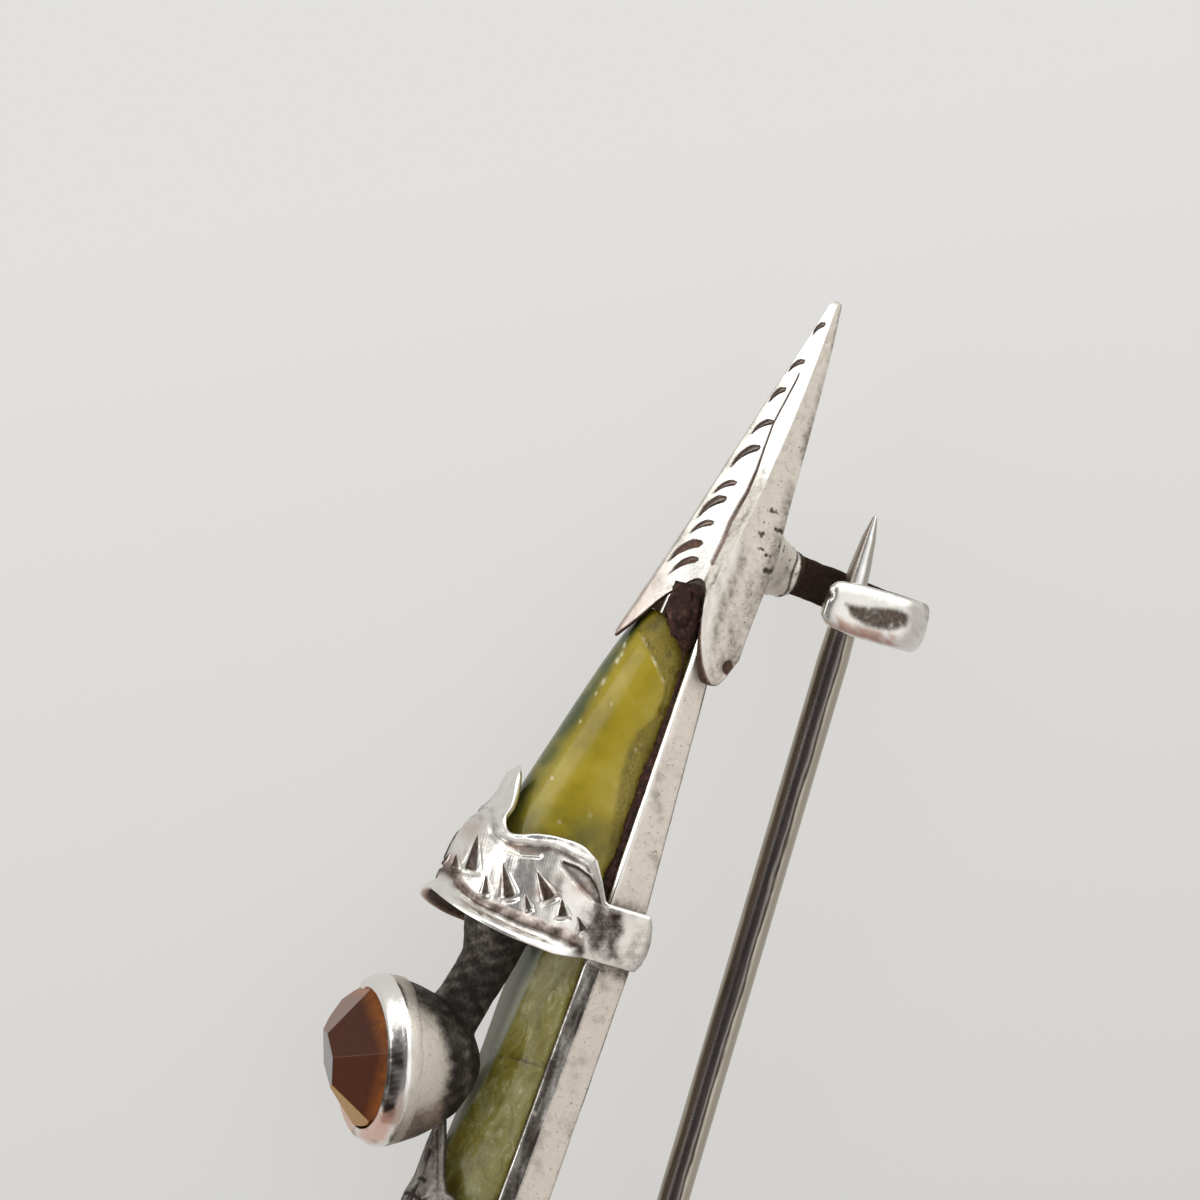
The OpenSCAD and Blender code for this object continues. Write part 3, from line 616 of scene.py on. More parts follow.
# Marks cut into the cap's front: (x, y) of each deep end and thin end in the photograph, and half width
CAP_CUTS = [((824, 323), (813, 333), 2.4), ((803.5, 360), (789, 369.5), 2.6),
            ((784.5, 388), (769.5, 400), 2.8), ((772, 420.5), (752, 432), 3.0),
            ((758.5, 446), (731, 465), 3.6), ((735, 481.5), (714.5, 491), 3.0),
            ((724.5, 497), (698, 515.5), 3.9), ((712, 521.5), (691, 531), 3.0),
            ((700.5, 541.5), (669, 559), 4.2), ((696.5, 558), (671, 571), 3.4)]
# The groove down the cap's front, in the photograph
CAP_GROOVE = [(801.5, 368), (796.5, 380), (773.5, 423), (762.5, 453), (756.5, 470), (746.5, 493), (740, 504),
              (730, 522), (721.5, 543), (712, 563)]
# Round the cap's section, from its ridge (0) over the front's edge (1) to the back (2): where its sheet ends
CAP_EDGE = [(0, CAP_L), (0.13, CAP_L - 1), (0.28, CAP_L - 2.2), (0.48, ARCH_X + 0.6), (0.7, ARCH_X),
            (0.9, ARCH_X + 0.45), (1, ARCH_X + 1.5), (1.14, CAP_SIDE_L - 2), (1.34, CAP_SIDE_L - 0.8),
            (1.55, CAP_SIDE_L - 0.12), (1.68, CAP_SIDE_L), (1.8, CAP_SIDE_L - 0.3), (2, CAP_SIDE_L - 1.5)]


def build_cap():
    """The hollow tip cap, cut and worn, with its lobed lower edge."""
    # columns: part 0..1 is the front from the ridge to the edge, 1..2 the side from the edge to the back
    part = np.concatenate([np.linspace(0, 1, 92, endpoint=False), np.linspace(1, 2, 46)])
    half_cols = len(part)
    reach = curve(part, CAP_EDGE)
    back_cols = 9
    # the ring runs from the near back corner up to the ridge, down the far side and over the back
    coarse = part[3::3]
    order = np.concatenate([part[::-1], coarse])
    far = np.concatenate([np.zeros(half_cols, bool), np.ones(len(coarse), bool)])
    rows = 400

    def ring(x, t):
        """Points of one ring per row of x, which has a value for each column, drawn in by t."""
        ridge, edge, back, half = cap_section(x, t)
        w = order[None, :]
        on_front = w <= 1
        y_front = half * (0.05 + 0.95 * w)
        z_front = ridge + (edge - ridge) * w
        d = w - 1
        tuck = 0.96 if t == 0 else 1.0
        y_side = half * (1 - (1 - tuck) * d)
        z_side = edge + (back - edge) * d
        y = np.where(on_front, y_front, y_side)
        z = np.where(on_front, z_front, z_side)
        return np.stack([x, np.where(far[None, :], -y, y), z], -1)

    share = np.linspace(0, 1, rows)[:, None]
    reach_all = np.concatenate([reach[::-1], reach[3::3]])
    x = share * reach_all[None, :]
    p = rounded(ring(x, 0.0), 3)
    blunt = np.sqrt(np.clip(1 - (1 - unit(p[..., 0] / 0.22)) ** 2, 0.0004, 1))
    p[..., 1] *= blunt
    p[..., 2] = CAP_POINT[1] + (p[..., 2] - CAP_POINT[1]) * blunt
    normal = grid_normals(p)
    px = photo_px(p)
    w = order[None, :] * np.ones((rows, 1))
    front_face = smooth(1.03 - w, 0, 0.06)
    side_face = 1 - front_face
    depth, red, green, blue = np.zeros((4, *p.shape[:2]))
    for deep, thin, half_w in CAP_CUTS:
        deep, thin = np.array(deep, float), np.array(thin, float)
        along = deep - thin
        length = np.hypot(*along)
        e = along / length
        n = np.array([e[1], -e[0]])
        r = px - thin
        a = unit((r @ e) / length)
        q = r @ n - 2.6 * 4 * a * (1 - a) * length / 24 + 0.8
        over = np.maximum((r @ e) - length, 0) + np.maximum(-(r @ e), 0)
        width = half_w * (0.25 + 0.95 * a ** 0.7) * unit((1.04 - a) * 6) ** 0.5
        side = q / np.maximum(width, 0.3)
        v = np.hypot(side, over / 1.2)
        side = np.clip(side, -1, 1)
        hole = unit(1 - v ** 2) ** 0.6 * (1 + 0.35 * side)
        depth += 0.16 * half_w / 3 * hole * front_face
        shade = 0.62 - 0.34 * side
        grow(red, shade * smooth(hole, 0.04, 0.45) * front_face)
        grow(green, 0.35 * smooth(hole, 0.0, 0.3) * front_face)
        tail = bell(q, 1.0) * (a <= 0) * np.exp(-over / 6.0)
        grow(red, 0.25 * tail * front_face)
    dist, side, along = stroke(px, CAP_GROOVE)
    width = 1.0 + 1.3 * smooth(along, 0.35, 0.75)
    groove = unit(1 - (dist / width) ** 2) * front_face * smooth(along, 0.0, 0.06)
    depth += (0.05 + 0.05 * smooth(along, 0.3, 0.7)) * groove
    grow(green, 0.6 * smooth(groove, 0.1, 0.8) * smooth(along, 0.3, 0.6))
    grow(red, (0.75 - 0.3 * smooth(along, 0.5, 0.9)) * smooth(groove, 0.1, 0.7))
    beside = front_face * smooth(np.where(side < 0, dist, -dist), 0.0, 3.0) * smooth(along, 0.42, 0.62)
    cool = lumps(p * np.array([0.5, 2, 2]), 2.0, 6, 3)
    grow(blue, 0.75 * beside)
    grow(red, (0.1 + 0.3 * smooth(cool, 0.0, 0.9)) * beside)
    # painted shade: a dull grey band along the ridge, where the front turns away from the light
    grow(blue, 0.55 * smooth(-w, -0.3, -0.04) * smooth(p[..., 0], 1.5, 5))
    # dirt near the arch, painted shade along the far silhouette where the front turns away from the light, and
    # a copper tint on the worn edge
    low_front = smooth(p[..., 0], 13.2, 17.5) * front_face
    blotch = lumps(p, 1.6, 4, 3)
    grow(red, 0.3 * low_front * smooth(blotch, -0.2, 0.9))
    grow(green, 0.3 * low_front * smooth(-w, -0.55, -0.05))
    # painted shade: darker along the far silhouette
    grow(red, 0.3 * smooth(-w, -0.24, -0.03) * smooth(blotch, -0.5, 0.8) * smooth(p[..., 0], 3, 8))
    # worn waves on the polished front, and fine pits on the matte side
    depth += 0.012 * lumps(p, 1.1, 3, 2) * front_face
    pits = waves(p, 9.0, 5, 2, 0.42, 0.75)
    pitted = inside(px, [(768, 505), (792, 520), (800, 560), (785, 592), (758, 590), (752, 552)], 9)
    depth += 0.05 * pits * pitted * side_face
    grow(red, 0.75 * pits * pitted * side_face)
    depth += 0.01 * lumps(p, 3.0, 8, 3) * side_face
    # the head of the rivet sits in a dent of the side lobe
    d = px - (727.5, 667)
    across_d, along_d = d @ np.array([0.96, 0.28]), d @ np.array([-0.28, 0.96])
    head = np.hypot(across_d / 4.2, along_d / 6.5)
    depth += 0.16 * np.exp(-head ** 4) * side_face
    grow(red, 0.95 * smooth(1.25 - head, 0, 0.4) * side_face)
    grow(red, 0.35 * np.exp(-((across_d + 5) / 3) ** 2 - (along_d / 9) ** 2) * side_face)
    bright = inside(px, [(741, 548), (731, 572), (714, 610), (708, 668), (699, 645), (703, 600), (711, 560),
                         (726, 520)], 4)
    grow(blue, side_face * (1 - 0.85 * bright))
    grow(red, 0.28 * smooth(w, 1.55, 2.0) * waves(p, 2.2, 9, 3, -0.9, 0.5))
    lobe = inside(px, [(716, 560), (745, 548), (775, 585), (757, 640), (735, 690), (712, 690), (700, 620)],
                  12)
    grain = lumps(p * np.array([1.0, 1.0, 2.5]), 3.4, 10, 4)
    grow(red, lobe * side_face * unit(0.05 + 0.16 * grain))
    bossy = inside(px, [(768, 540), (800, 548), (800, 600), (770, 606), (755, 580)], 12)
    grow(red, bossy * side_face * unit(0.04 + 0.2 * grain))
    # it swells where the catch's boss stands on its back
    depth -= bell(p[..., 0] - 12.9, 1.5) * smooth(w, 1.25, 1.95) * 0.28
    p = p - normal * depth[..., None]
    brown_rim = smooth(share, 0.995, 1.0) * np.ones_like(green)
    grow(green, 0.5 * brown_rim)
    grow(red, 0.3 * brown_rim)
    # the sheet's edge and the inside
    inner_x = np.linspace(0, 1, 14)[:, None] * (CAP_HOLLOW_X - reach_all)[None, :] + reach_all[None, :] - 0.01
    q = ring(inner_x, CAP_SHEET)
    last = p[-1]
    rim = np.stack([last + (q[0] - last) * s + np.array([0.05 * math.sin(math.pi * s), 0, 0])
                    for s in (0.33, 0.66)])
    all_p = np.concatenate([p, rim, q])
    n_rows, cols = all_p.shape[:2]
    # the back joins the far and the near corner
    near, other = all_p[:, :1], all_p[:, -1:]
    steps = (np.arange(1, back_cols) / back_cols)[None, :, None]
    bottom = other + (near - other) * steps
    all_p = np.concatenate([all_p, bottom], axis=1)
    extra = np.zeros((n_rows - rows, cols))
    mask = np.stack([np.concatenate([red, extra + 0.55]), np.concatenate([green, extra + 0.9]),
                     np.concatenate([blue, extra + 0.6])], -1)
    mask[rows:rows + 3, :, 0] = 0.8
    mask = np.concatenate([mask, np.broadcast_to([0.12, 0.0, 0.9], (n_rows, back_cols - 1, 3))], axis=1)
    return make("tip_cap", all_p, closed_faces, CAP_SILVER, ["chape"], mask, flip=True)


def loft(stations, segments=64, power=2.0):
    """Rings in the x and y directions round a line of stations, each (x, y, z, half x, half y)."""
    rings = []
    for x, y, z, rx, ry in stations:
        a = np.linspace(0, 2 * math.pi, segments, endpoint=False)
        c, s = np.cos(a), np.sin(a)
        rings.append(np.stack([x + rx * np.sign(c) * np.abs(c) ** (2 / power),
                               y + ry * np.sign(s) * np.abs(s) ** (2 / power), z + 0 * a], -1))
    return np.array(rings)


def fine_rows(stations, count):
    """Stations blended to a finer count, at even steps along them."""
    stations = np.array(stations, float)
    at = np.concatenate([[0], np.cumsum(np.linalg.norm(np.diff(stations[:, :3], axis=0), axis=1)
                                        + 0.5 * np.abs(np.diff(stations[:, 3])))])
    to = np.linspace(0, at[-1], count)
    return np.stack([curve(to, np.stack([at, stations[:, k]], -1)) for k in range(stations.shape[1])], -1)


# Catch
def build_boss():
    """The round boss that the catch stands on, with its solder line."""
    stations = fine_rows([(12.75, 0.2, -0.9, 2.85, 2.35), (12.8, 0.2, -1.3, 2.6, 2.42),
                          (12.85, 0.18, -1.7, 2.3, 2.36), (12.92, 0.1, -2.1, 1.85, 2.05),
                          (12.98, 0.0, -2.5, 1.58, 1.72), (13.06, -0.1, -3.0, 1.35, 1.44),
                          (13.15, -0.2, -3.5, 1.22, 1.32), (13.2, -0.25, -3.85, 1.16, 1.25),
                          (13.2, -0.25, -4.02, 1.0, 1.08), (13.2, -0.25, -4.06, 0.5, 0.55)], 90)
    p = loft(stations, 96, 2.3)
    n = grid_normals(p, wrap=True)
    z = p[..., 2]
    lean = smooth(-z, 1.5, 4.0)
    p[..., 2] += 0.2 * lean * (p[..., 0] - 13.2) / 1.2
    pits = waves(p, 8.0, 21, 2, 0.5, 0.8)
    line = bell(p[..., 2] + 3.62 - 0.1 * np.sin(p[..., 0] * 3), 0.1)
    rough = lumps(p, 2.5, 23, 3)
    p = p - n * (0.03 * pits + 0.02 * rough - 0.05 * line)[..., None]
    end = smooth(-z, 3.72, 3.86)
    seam = bell(z + 3.48 - 0.1 * np.sin(p[..., 0] * 3), 0.07)
    grime = smooth(-z, 2.2, 3.4) * waves(p, 3.0, 25, 3, -0.4, 0.8)
    mask = np.stack([unit(0.6 * pits + 0.85 * end + 0.75 * seam + 0.3 * grime), 0 * z, 0.9 - 0.8 * line], -1)
    return make("catch_boss", p, closed_faces, CAP_SILVER, (), mask)


def build_catch():
    """The C-shaped catch: a band that runs down its arm, round the bend and up to its lip."""
    arm_y, bend_c, bend_r, lip_y = -1.67, -9.14, 1.66, 1.65
    path = [(arm_y, z) for z in np.linspace(-3.3, bend_c, 50)]
    path += [(-0.01 - bend_r * math.cos(a), bend_c - bend_r * math.sin(a))
             for a in np.linspace(0.06, math.pi, 50)]
    path += [(lip_y, z) for z in np.linspace(bend_c + 0.08, -5.24, 50)]
    path = np.array(path)
    run = np.concatenate([[0], np.cumsum(np.hypot(*np.diff(path, axis=0).T))])
    u = run / run[-1]
    d = np.gradient(path, axis=0)
    d /= np.linalg.norm(d, axis=1, keepdims=True)
    out = np.stack([d[:, 1], -d[:, 0]], -1)
    centre = curve(u, [(0, 12.95), (0.25, 13.3), (0.5, 13.7), (0.7, 13.9), (1, 13.9)])
    half_w = curve(u, [(0, 0.95), (0.3, 0.98), (0.5, 1.1), (0.68, 1.24), (0.85, 1.27), (0.94, 1.2),
                       (0.98, 1.02), (1, 0.7)])
    half_t = curve(u, [(0, 0.3), (0.3, 0.32), (0.5, 0.4), (0.7, 0.48), (0.94, 0.46), (0.98, 0.38), (1, 0.2)])
    sharpness = curve(u, [(0, 7), (0.35, 6), (0.5, 3.6), (0.62, 2.35), (1, 2.2)])
    a = np.linspace(0, 2 * math.pi, 72, endpoint=False)
    rings = []
    for i in range(len(path)):
        k = 2 / sharpness[i]
        across = half_w[i] * np.sign(np.cos(a)) * np.abs(np.cos(a)) ** k
        thick = half_t[i] * np.sign(np.sin(a)) * np.abs(np.sin(a)) ** k
        rings.append(np.stack([centre[i] + across, path[i, 0] + thick * out[i, 0],
                               path[i, 1] + thick * out[i, 1]], -1))
    p = np.array(rings)
    n = grid_normals(p, wrap=True)
    s = u[:, None] * np.ones(72)
    lip = smooth(s, 0.5, 0.62)
    coarse = lumps(p, 2.2, 31, 3)
    fine = lumps(p, 7.0, 33, 2)
    p = p + n * (0.035 * coarse * (1 - lip) + 0.02 * fine * (1 - lip) + 0.022 * coarse * lip)[..., None]
    px = photo_px(p)
    near = smooth(p[..., 1], 0.2, 1.0)
    pit = dot(px, 829, 595, 4.0) * near
    p = p - n * (0.12 * pit)[..., None]
    wob = px_lumps(px, 9, 9, 2.2, 35)
    # painted reflections on the lip: a dark band across its middle (patch) with lighter specks in it (dots)
    patch = inside(px, [(846, 604), (862, 607), (880, 608), (900, 610), (909, 616), (906, 626), (890, 630),
                        (868, 626), (852, 616)], 3) * near
    spotted = inside(px, [(852, 606), (880, 603), (905, 612), (900, 630), (870, 628)], 6)
    dots = waves(p, 5.0, 37, 2, 0.35, 0.8) * spotted * near
    # painted reflection: a salmon band along the lip's lower part
    pink = inside(px, [(836, 616), (846, 622), (868, 629), (896, 636), (892, 645), (866, 639), (840, 630)],
                  3) * near
    end = smooth(px[..., 0], 908, 926) * near
    red = unit((1 - lip) * (0.9 + 0.15 * coarse) + 0.9 * pit + 0.75 * patch * smooth(wob, -1.6, -0.2)
               - 0.5 * dots * patch + 0.3 * end * smooth(wob, -0.2, 0.8))
    green = unit(0.75 * pink * smooth(wob, -1.0, 0.2))
    blue = unit((1 - lip) * 0.9 + 0.2 * end)
    return make("catch_band", p, closed_faces, CAP_SILVER, (),
                np.stack([red, green, blue], -1))


# Stones, cement and tray
TRAY_X0, TRAY_X1, COLLAR_X, BAND_X, MOUNT_X = 15.3, 49.9, 30.8, 33.4, 45.7
# Along x: the tray's half width, and the heights of its walls and its back
HALVES = [(TRAY_X0, 2.71), (CAP_L, 3.2), (COLLAR_X, 4.1), (BAND_X, 4.1), (MOUNT_X, 3.5), (TRAY_X1, 3.5)]
WALLS = [(TRAY_X0, 0.9), (CAP_L, 1.15), (COLLAR_X, 2.1), (MOUNT_X, 2.8), (TRAY_X1, 2.8)]
BACKS = [(TRAY_X0, 0), (BAND_X, 0), (MOUNT_X, 0.4), (TRAY_X1, 0.4)]
# The stones' underside, and how far their sides stand in from the tray's
STONE_Z, STONE_IN = 0.78, 0.75


def line_at(x, table):
    """A broken line through the (place, value) pairs of a table."""
    xs, ys = np.array(table, float).T
    return np.interp(x, xs, ys)


def build_tray():
    """The silver tray that both stones lie in."""
    x = np.concatenate([np.linspace(TRAY_X0, BAND_X + 0.2, 150), np.linspace(BAND_X + 0.3, TRAY_X1, 170)])
    half, wall, back = line_at(x, HALVES), line_at(x, WALLS), line_at(x, BACKS)
    bevel = smooth(x, BAND_X + 0.15, BAND_X + 0.35)
    # the thicknesses of the wall and the floor, and the wall's rounding
    t, floor_t, r = 0.45, 0.5, 0.15
    drop = np.where(bevel > 0.5, 0.7, r)
    step = np.where(bevel > 0.5, 0.5 * t, r)
    outline = []
    for side in (1, -1):
        points = [(half - 0.12, back), (half - 0.03, back + 0.04), (half, back + 0.14),
                  *[(half, back + 0.14 + (wall - drop - back - 0.14) * f) for f in (0.1, 0.3, 0.5, 0.7, 0.9)],
                  (half, wall - drop), (half - 0.02, wall - drop + 0.03),
                  *[(half - step * f, wall - drop * (1 - f)) for f in (0.15, 0.3, 0.45, 0.6, 0.75, 0.9)],
                  (half - step - 0.02, wall), (half - t + 0.03, wall), (half - t, wall - 0.04),
                  (half - t, wall - 0.4), (half - t, back + floor_t)]
        columns = np.stack([np.stack([x, side * py + 0 * x, pz + 0 * x], -1) for py, pz in points], 1)
        outline.append(columns if side == 1 else columns[:, ::-1])
    p = np.concatenate(outline, axis=1)
    n = grid_normals(p, wrap=True)
    wear = lumps(p * np.array([1, 3, 3]), 1.6, 41, 3)
    p = p + n * (0.014 * wear)[..., None]
    px = photo_px(p)
    low = smooth(p[..., 0], BAND_X, BAND_X + 0.3)
    down = (p[..., 2] - back[:, None]) / (wall - back)[:, None]
    outer = smooth(np.abs(p[..., 1]) - (half[:, None] - 0.3), 0, 0.05)
    on_bevel = smooth(p[..., 2], (wall - 0.72)[:, None], (wall - 0.66)[:, None]) * low * outer
    streak = lumps(p * np.array([0.5, 4, 4]), 1.8, 43, 3)
    # the bevel below the collar is darkened in streaks: partly oxide, partly a painted dark reflection
    red = on_bevel * unit(0.66 + 0.5 * streak)
    wall_w = (wall - back)[:, None]
    worn = lumps(p * np.array([1, 0.2, 0.2]), 2.2, 45, 3)
    edge = smooth((1 - down) * wall_w, 0.34 + 0.1 * worn, 0.1 + 0.1 * worn) * (1 - low)
    edge = np.maximum(edge, smooth(down, 0.94, 1.0) * low * (0.4 + 0.5 * smooth(worn, -0.5, 0.5))) * outer
    red = unit(red * (1 - edge))
    streaked = smooth(streak, -0.2, 0.6)
    # darker in a thin line along the wall's foot
    grow(red, 0.75 * smooth(0.1 / wall_w - down, 0, 0.05) * (0.4 + 0.6 * streaked) * smooth(down, 0, 0.01))
    grow(red, 0.14 * waves(p, 2.0, 47, 3, 0.35, 0.9) * (1 - edge))
    near_band = bell(p[..., 0] - COLLAR_X, 0.45) + bell(p[..., 0] - BAND_X - 0.2, 0.35)
    grow(red, 0.5 * near_band * outer * (0.6 + 0.5 * streak))
    # a painted glint: a small spot where the darkening is left off
    painted_glint = dot(px, 534, 1113, 2.5)
    blue = 0.95 * (1 - on_bevel) * (1 - edge) * np.maximum(outer, smooth(0.01 - down, 0, 0.005))
    mask = np.stack([red * (1 - painted_glint), 0.0 * red, blue], -1)
    return make("tray", p, closed_faces, TRAY_SILVER, ["back_frame"], mask, flip=True)


def dee_points(half, back, side, top, angles):
    """A half ellipse over straight sides, from the near side over the front to the far side."""
    arc = [(half * np.cos(a), side + (top - side) * np.sin(a)) for a in angles]
    return [(half, back), (half, (back + side) / 2), *arc, (-half, (back + side) / 2), (-half, back)]


# Painted highlights: small bright glints in the upper stone's polish, in the photograph: place and size
GLINT_SPOTS = [(633, 626, 1.6), (627, 637, 1.7), (624, 645, 2.2), (622, 654, 1.5), (617, 661, 2.4), (614, 667, 1.2),
         (603, 682, 2.0), (596, 693, 1.0), (588, 706, 0.9), (580, 722, 0.8), (575, 735, 0.8), (568, 749, 0.7),
         (640, 745, 1.2), (636, 751, 1.3), (632, 757, 1.0), (612, 704, 0.8), (634, 703, 0.7), (560, 764, 0.6),
         (552, 778, 0.7), (545, 792, 0.7), (590, 815, 0.6), (560, 822, 0.7)]


def build_upper_stone():
    """The tapering olive stone, polished on its front and pitted behind."""
    x0, x1 = 15.6, 31.75
    share = np.concatenate([[0, 0.003, 0.008, 0.016, 0.028, 0.045, 0.065], np.linspace(0.09, 1, 110)])
    flat = x0 + share * (x1 - x0)
    half = line_at(flat, HALVES) - STONE_IN
    side = line_at(flat, WALLS)
    top = 3.6 + (7.7 - 3.6) / (COLLAR_X - CAP_L) * (flat - CAP_L)
    drop = curve(share, [(0, 0.75), (0.012, 0.5), (0.04, 0.3), (0.12, 0.14), (0.35, 0), (1, 0)])
    ease = smooth(share, 0, 0.04) * 0.35 + 0.65
    angles = np.linspace(0, math.pi, 81)
    points = dee_points(half * (0.93 + 0.07 * smooth(share, 0, 0.03)), STONE_Z + 0 * half, side, top - drop,
                        angles)
    p = np.stack([np.stack([flat, y + 0 * flat, z + 0 * flat], -1) for y, z in points], 1)
    p[..., 2] = STONE_Z + (p[..., 2] - STONE_Z) * np.where(p[..., 2] > 1.2, ease[:, None], 1)
    slant = curve(share, [(0, 1), (0.03, 1), (0.12, 0.75), (0.35, 0), (1, 0)])[:, None]
    p[..., 0] += slant * 2.2 * (1 - (p[..., 2] - STONE_Z) / (top - STONE_Z)[:, None])
    n = grid_normals(p)
    px = photo_px(p)
    # the polish ends along a line; behind it the stone is pitted and darker
    polish = [(622, 600), (633, 623), (640, 633), (655, 663), (665, 683), (663, 698), (655, 717), (638, 733),
              (628, 750), (623, 767), (617, 798), (612, 830), (606, 860)]
    dist, which, way = stroke(px, polish)
    signed = dist * -which
    rough = smooth(signed, -1.5, 2.5) * smooth(p[..., 1], 0.3, 0.9)
    line = unit(1 - (dist / 1.5) ** 2) * smooth(p[..., 1], 0.3, 0.9) * smooth(0.42 - way, 0, 0.16)
    line *= smooth(px[..., 1], 616, 626) * waves(p, 6.5, 50, 2, -0.3, 0.5) * 0.7
    pits = waves(p, 6.0, 51, 3, 0.1, 0.9)
    p = p - n * (0.05 * rough + 0.05 * pits * rough - 0.03 * line + 0.006 * lumps(p, 1.2, 53, 2))[..., None]
    # painted highlights: small bright glints inside the near outline
    glints = np.zeros(p.shape[:2])
    for x, y, size in GLINT_SPOTS:
        d = px - (x, y)
        across, down = 0.87 * d[..., 0] + 0.49 * d[..., 1], -0.49 * d[..., 0] + 0.87 * d[..., 1]
        grow(glints, np.exp(-((across / (0.75 * size)) ** 2 + (down / (1.9 * size)) ** 2)))
    glints *= 0.8 * smooth(p[..., 1], 0.2, 0.5) * waves(p, 9.0, 54, 2, -0.5, 0.3)
    cracks = waves(p, 2.4, 55, 3, 0.45, 0.7)
    # painted shade: the far half of the stone's front, turned from the light, is darker (band)
    turn_by = np.degrees(np.arctan2(p[..., 2] - side[:, None], p[..., 1]))
    band = smooth(turn_by, 66, 84) * (0.75 + 0.4 * lumps(p, 1.6, 57, 3))
    stain = inside(px, [(492, 815), (520, 832), (556, 836), (585, 846), (612, 850), (612, 872), (580, 850),
                        (540, 830), (510, 820)], 8) * waves(p, 5.0, 58, 3, -0.3, 0.7)
    grime = inside(px, [(488, 780), (500, 796), (540, 808), (590, 818), (622, 838), (618, 880), (560, 860),
                        (485, 850)], 16) * waves(p, 2.0, 59, 3, -1.3, 0.7)
    dark_end = inside(px, [(480, 830), (505, 770), (518, 770), (512, 800), (530, 826), (520, 840)], 6)
    red = np.maximum(rough * (0.66 + 0.34 * pits), 0.7 * stain)
    blue = np.maximum(np.maximum(0.6 * cracks * rough, band), np.maximum(0.6 * dark_end, 0.55 * grime))
    mask = np.stack([red, np.maximum(line, glints), blue], -1)
    return make("upper_stone_polished", p, closed_faces, OLIVE, ["upper_stone"], mask,
                flip=True)


def build_seams():
    """Rough cement between the upper stone and the tray's walls, and a lump of it in the cap's arch."""
    for name, side, seed in (("seam_near", 1, 141), ("seam_far", -1, 142)):
        x = np.linspace(15.0 if side > 0 else 18.2, 30.9, 260)
        y = curve(x, [(15.0, 2.0), (17, 2.35), (18.5, 2.62), (30.9, 3.42)])
        z = curve(x, [(15.0, 2.15), (16.5, 2.0), (17.6, 1.55), (19, 1.3), (30.9, 2.15)])
        thick = curve(x, [(15.0, 0.5), (16.4, 0.66), (17.3, 0.45), (18.0, 0.2), (18.6, 0.08), (20.8, 0.08),
                          (21.8, 0.2), (28, 0.24), (30.9, 0.3)])
        p = tube(np.stack([x, side * y, z, thick, thick], -1), 28)
        n = grid_normals(p, wrap=True)
        out = 0.22 * lumps(p, 2.6, seed, 3) + 0.1 * lumps(p, 8.0, seed + 5, 2)
        p = p - n * (out * np.minimum(1, thick[:, None] / 0.45))[..., None]
        make(name, p, closed_faces, CEMENT)
    x = np.linspace(14.9, 18.1, 60)
    thick = 0.42 * np.sqrt(np.clip(1 - ((x - 16.3) / 1.85) ** 2, 0.01, 1))
    p = tube(np.stack([x, 2.6 + 0 * x, 1.45 + 0.12 * (17 - x), thick, thick], -1), 28)
    n = grid_normals(p, wrap=True)
    p = p - n * (0.1 * lumps(p, 3.2, 151, 3))[..., None]
    make("seam_lump", p, closed_faces, CEMENT)


def build_lower_stone():
    """The marbled stone, with a narrow flat front that widens towards the collar."""
    x0, x1 = 33.05, 49.6
    share = np.linspace(0, 1, 130)
    x = x0 + share * (x1 - x0)
    table = np.array([(0, 1, 0), (0.2, 0.85, 0.22), (0.45, 0.55, 0.55), (0.7, 0.12, 1), (1, 0.1, 0.95)])
    flat = 1.6 * curve(share, table[:, [0, 1]])
    rise = 3.55 + 1.4 * curve(share, table[:, [0, 2]])
    half = line_at(x, HALVES) - STONE_IN
    side = line_at(x, WALLS) - 0.1
    low = STONE_Z + line_at(x, BACKS)
    mid, mid_z = (half + flat) / 2 + 0.12, (side + rise) / 2 + 0.1
    near = [(half, low), (half, side), (mid, mid_z), (flat, rise), (0 * x, rise + 0.02)]
    near = np.stack([np.stack([x, y, z], -1) for y, z in near], 1)
    fine = [near[:, k] * (1 - f) + near[:, k + 1] * f for k in range(4)
            for f in np.linspace(0, 1, 20, endpoint=False)]
    p = np.stack(fine + [near[:, 4]], 1)
    other = p[:, -2::-1] * np.array([1, -1, 1])
    p = rounded(np.concatenate([p, other], axis=1), 4, 0)
    n = grid_normals(p)
    px = photo_px(p)
    crack, _, _ = stroke(px, [(484, 1045), (500, 1056), (515, 1058), (530, 1063), (548, 1070)])
    cut = unit(1 - (crack / 1.4) ** 2) * smooth(p[..., 1], 0.5, 1.0)
    p = p - n * (0.05 * cut + 0.015 * lumps(p, 1.0, 61, 3))[..., None]
    front_part = smooth(flat[:, None] - p[..., 1], -0.12, 0.12) * smooth(p[..., 2], 3.2, 3.4)
    mask = np.stack([0.6 * cut, front_part, 0 * cut], -1)
    return make("lower_stone_marbled", p, closed_faces, MARBLED,
                ["lower_stone"], mask, flip=True)


# Collar
# Round the collar, from its side (0 degrees) to its front (90): how far up the leaf's edge reaches
LEAF_ARC = [(0, 0.36), (2, 0.38), (10, 0.45), (26, 0.47), (37, 0.45), (53, 0.38), (62, 0.45), (68, 0.56),
            (80, 0.9), (90, 1)]
# Wedges cut into the leaf, in the photograph: the point, the middle of the broad end and half its width
LEAF_CUTS = [((457, 853), (456, 869), 4), ((479, 831), (471.5, 868), 7), ((486.5, 873), (485.5, 893), 4),
             ((502.5, 859), (509.5, 895), 6.5), ((525, 892), (528.5, 908), 3.5),
             ((535.5, 868), (549, 897), 7.5), ((562, 897), (562.5, 916), 6), ((577, 915), (583, 930), 4.5)]
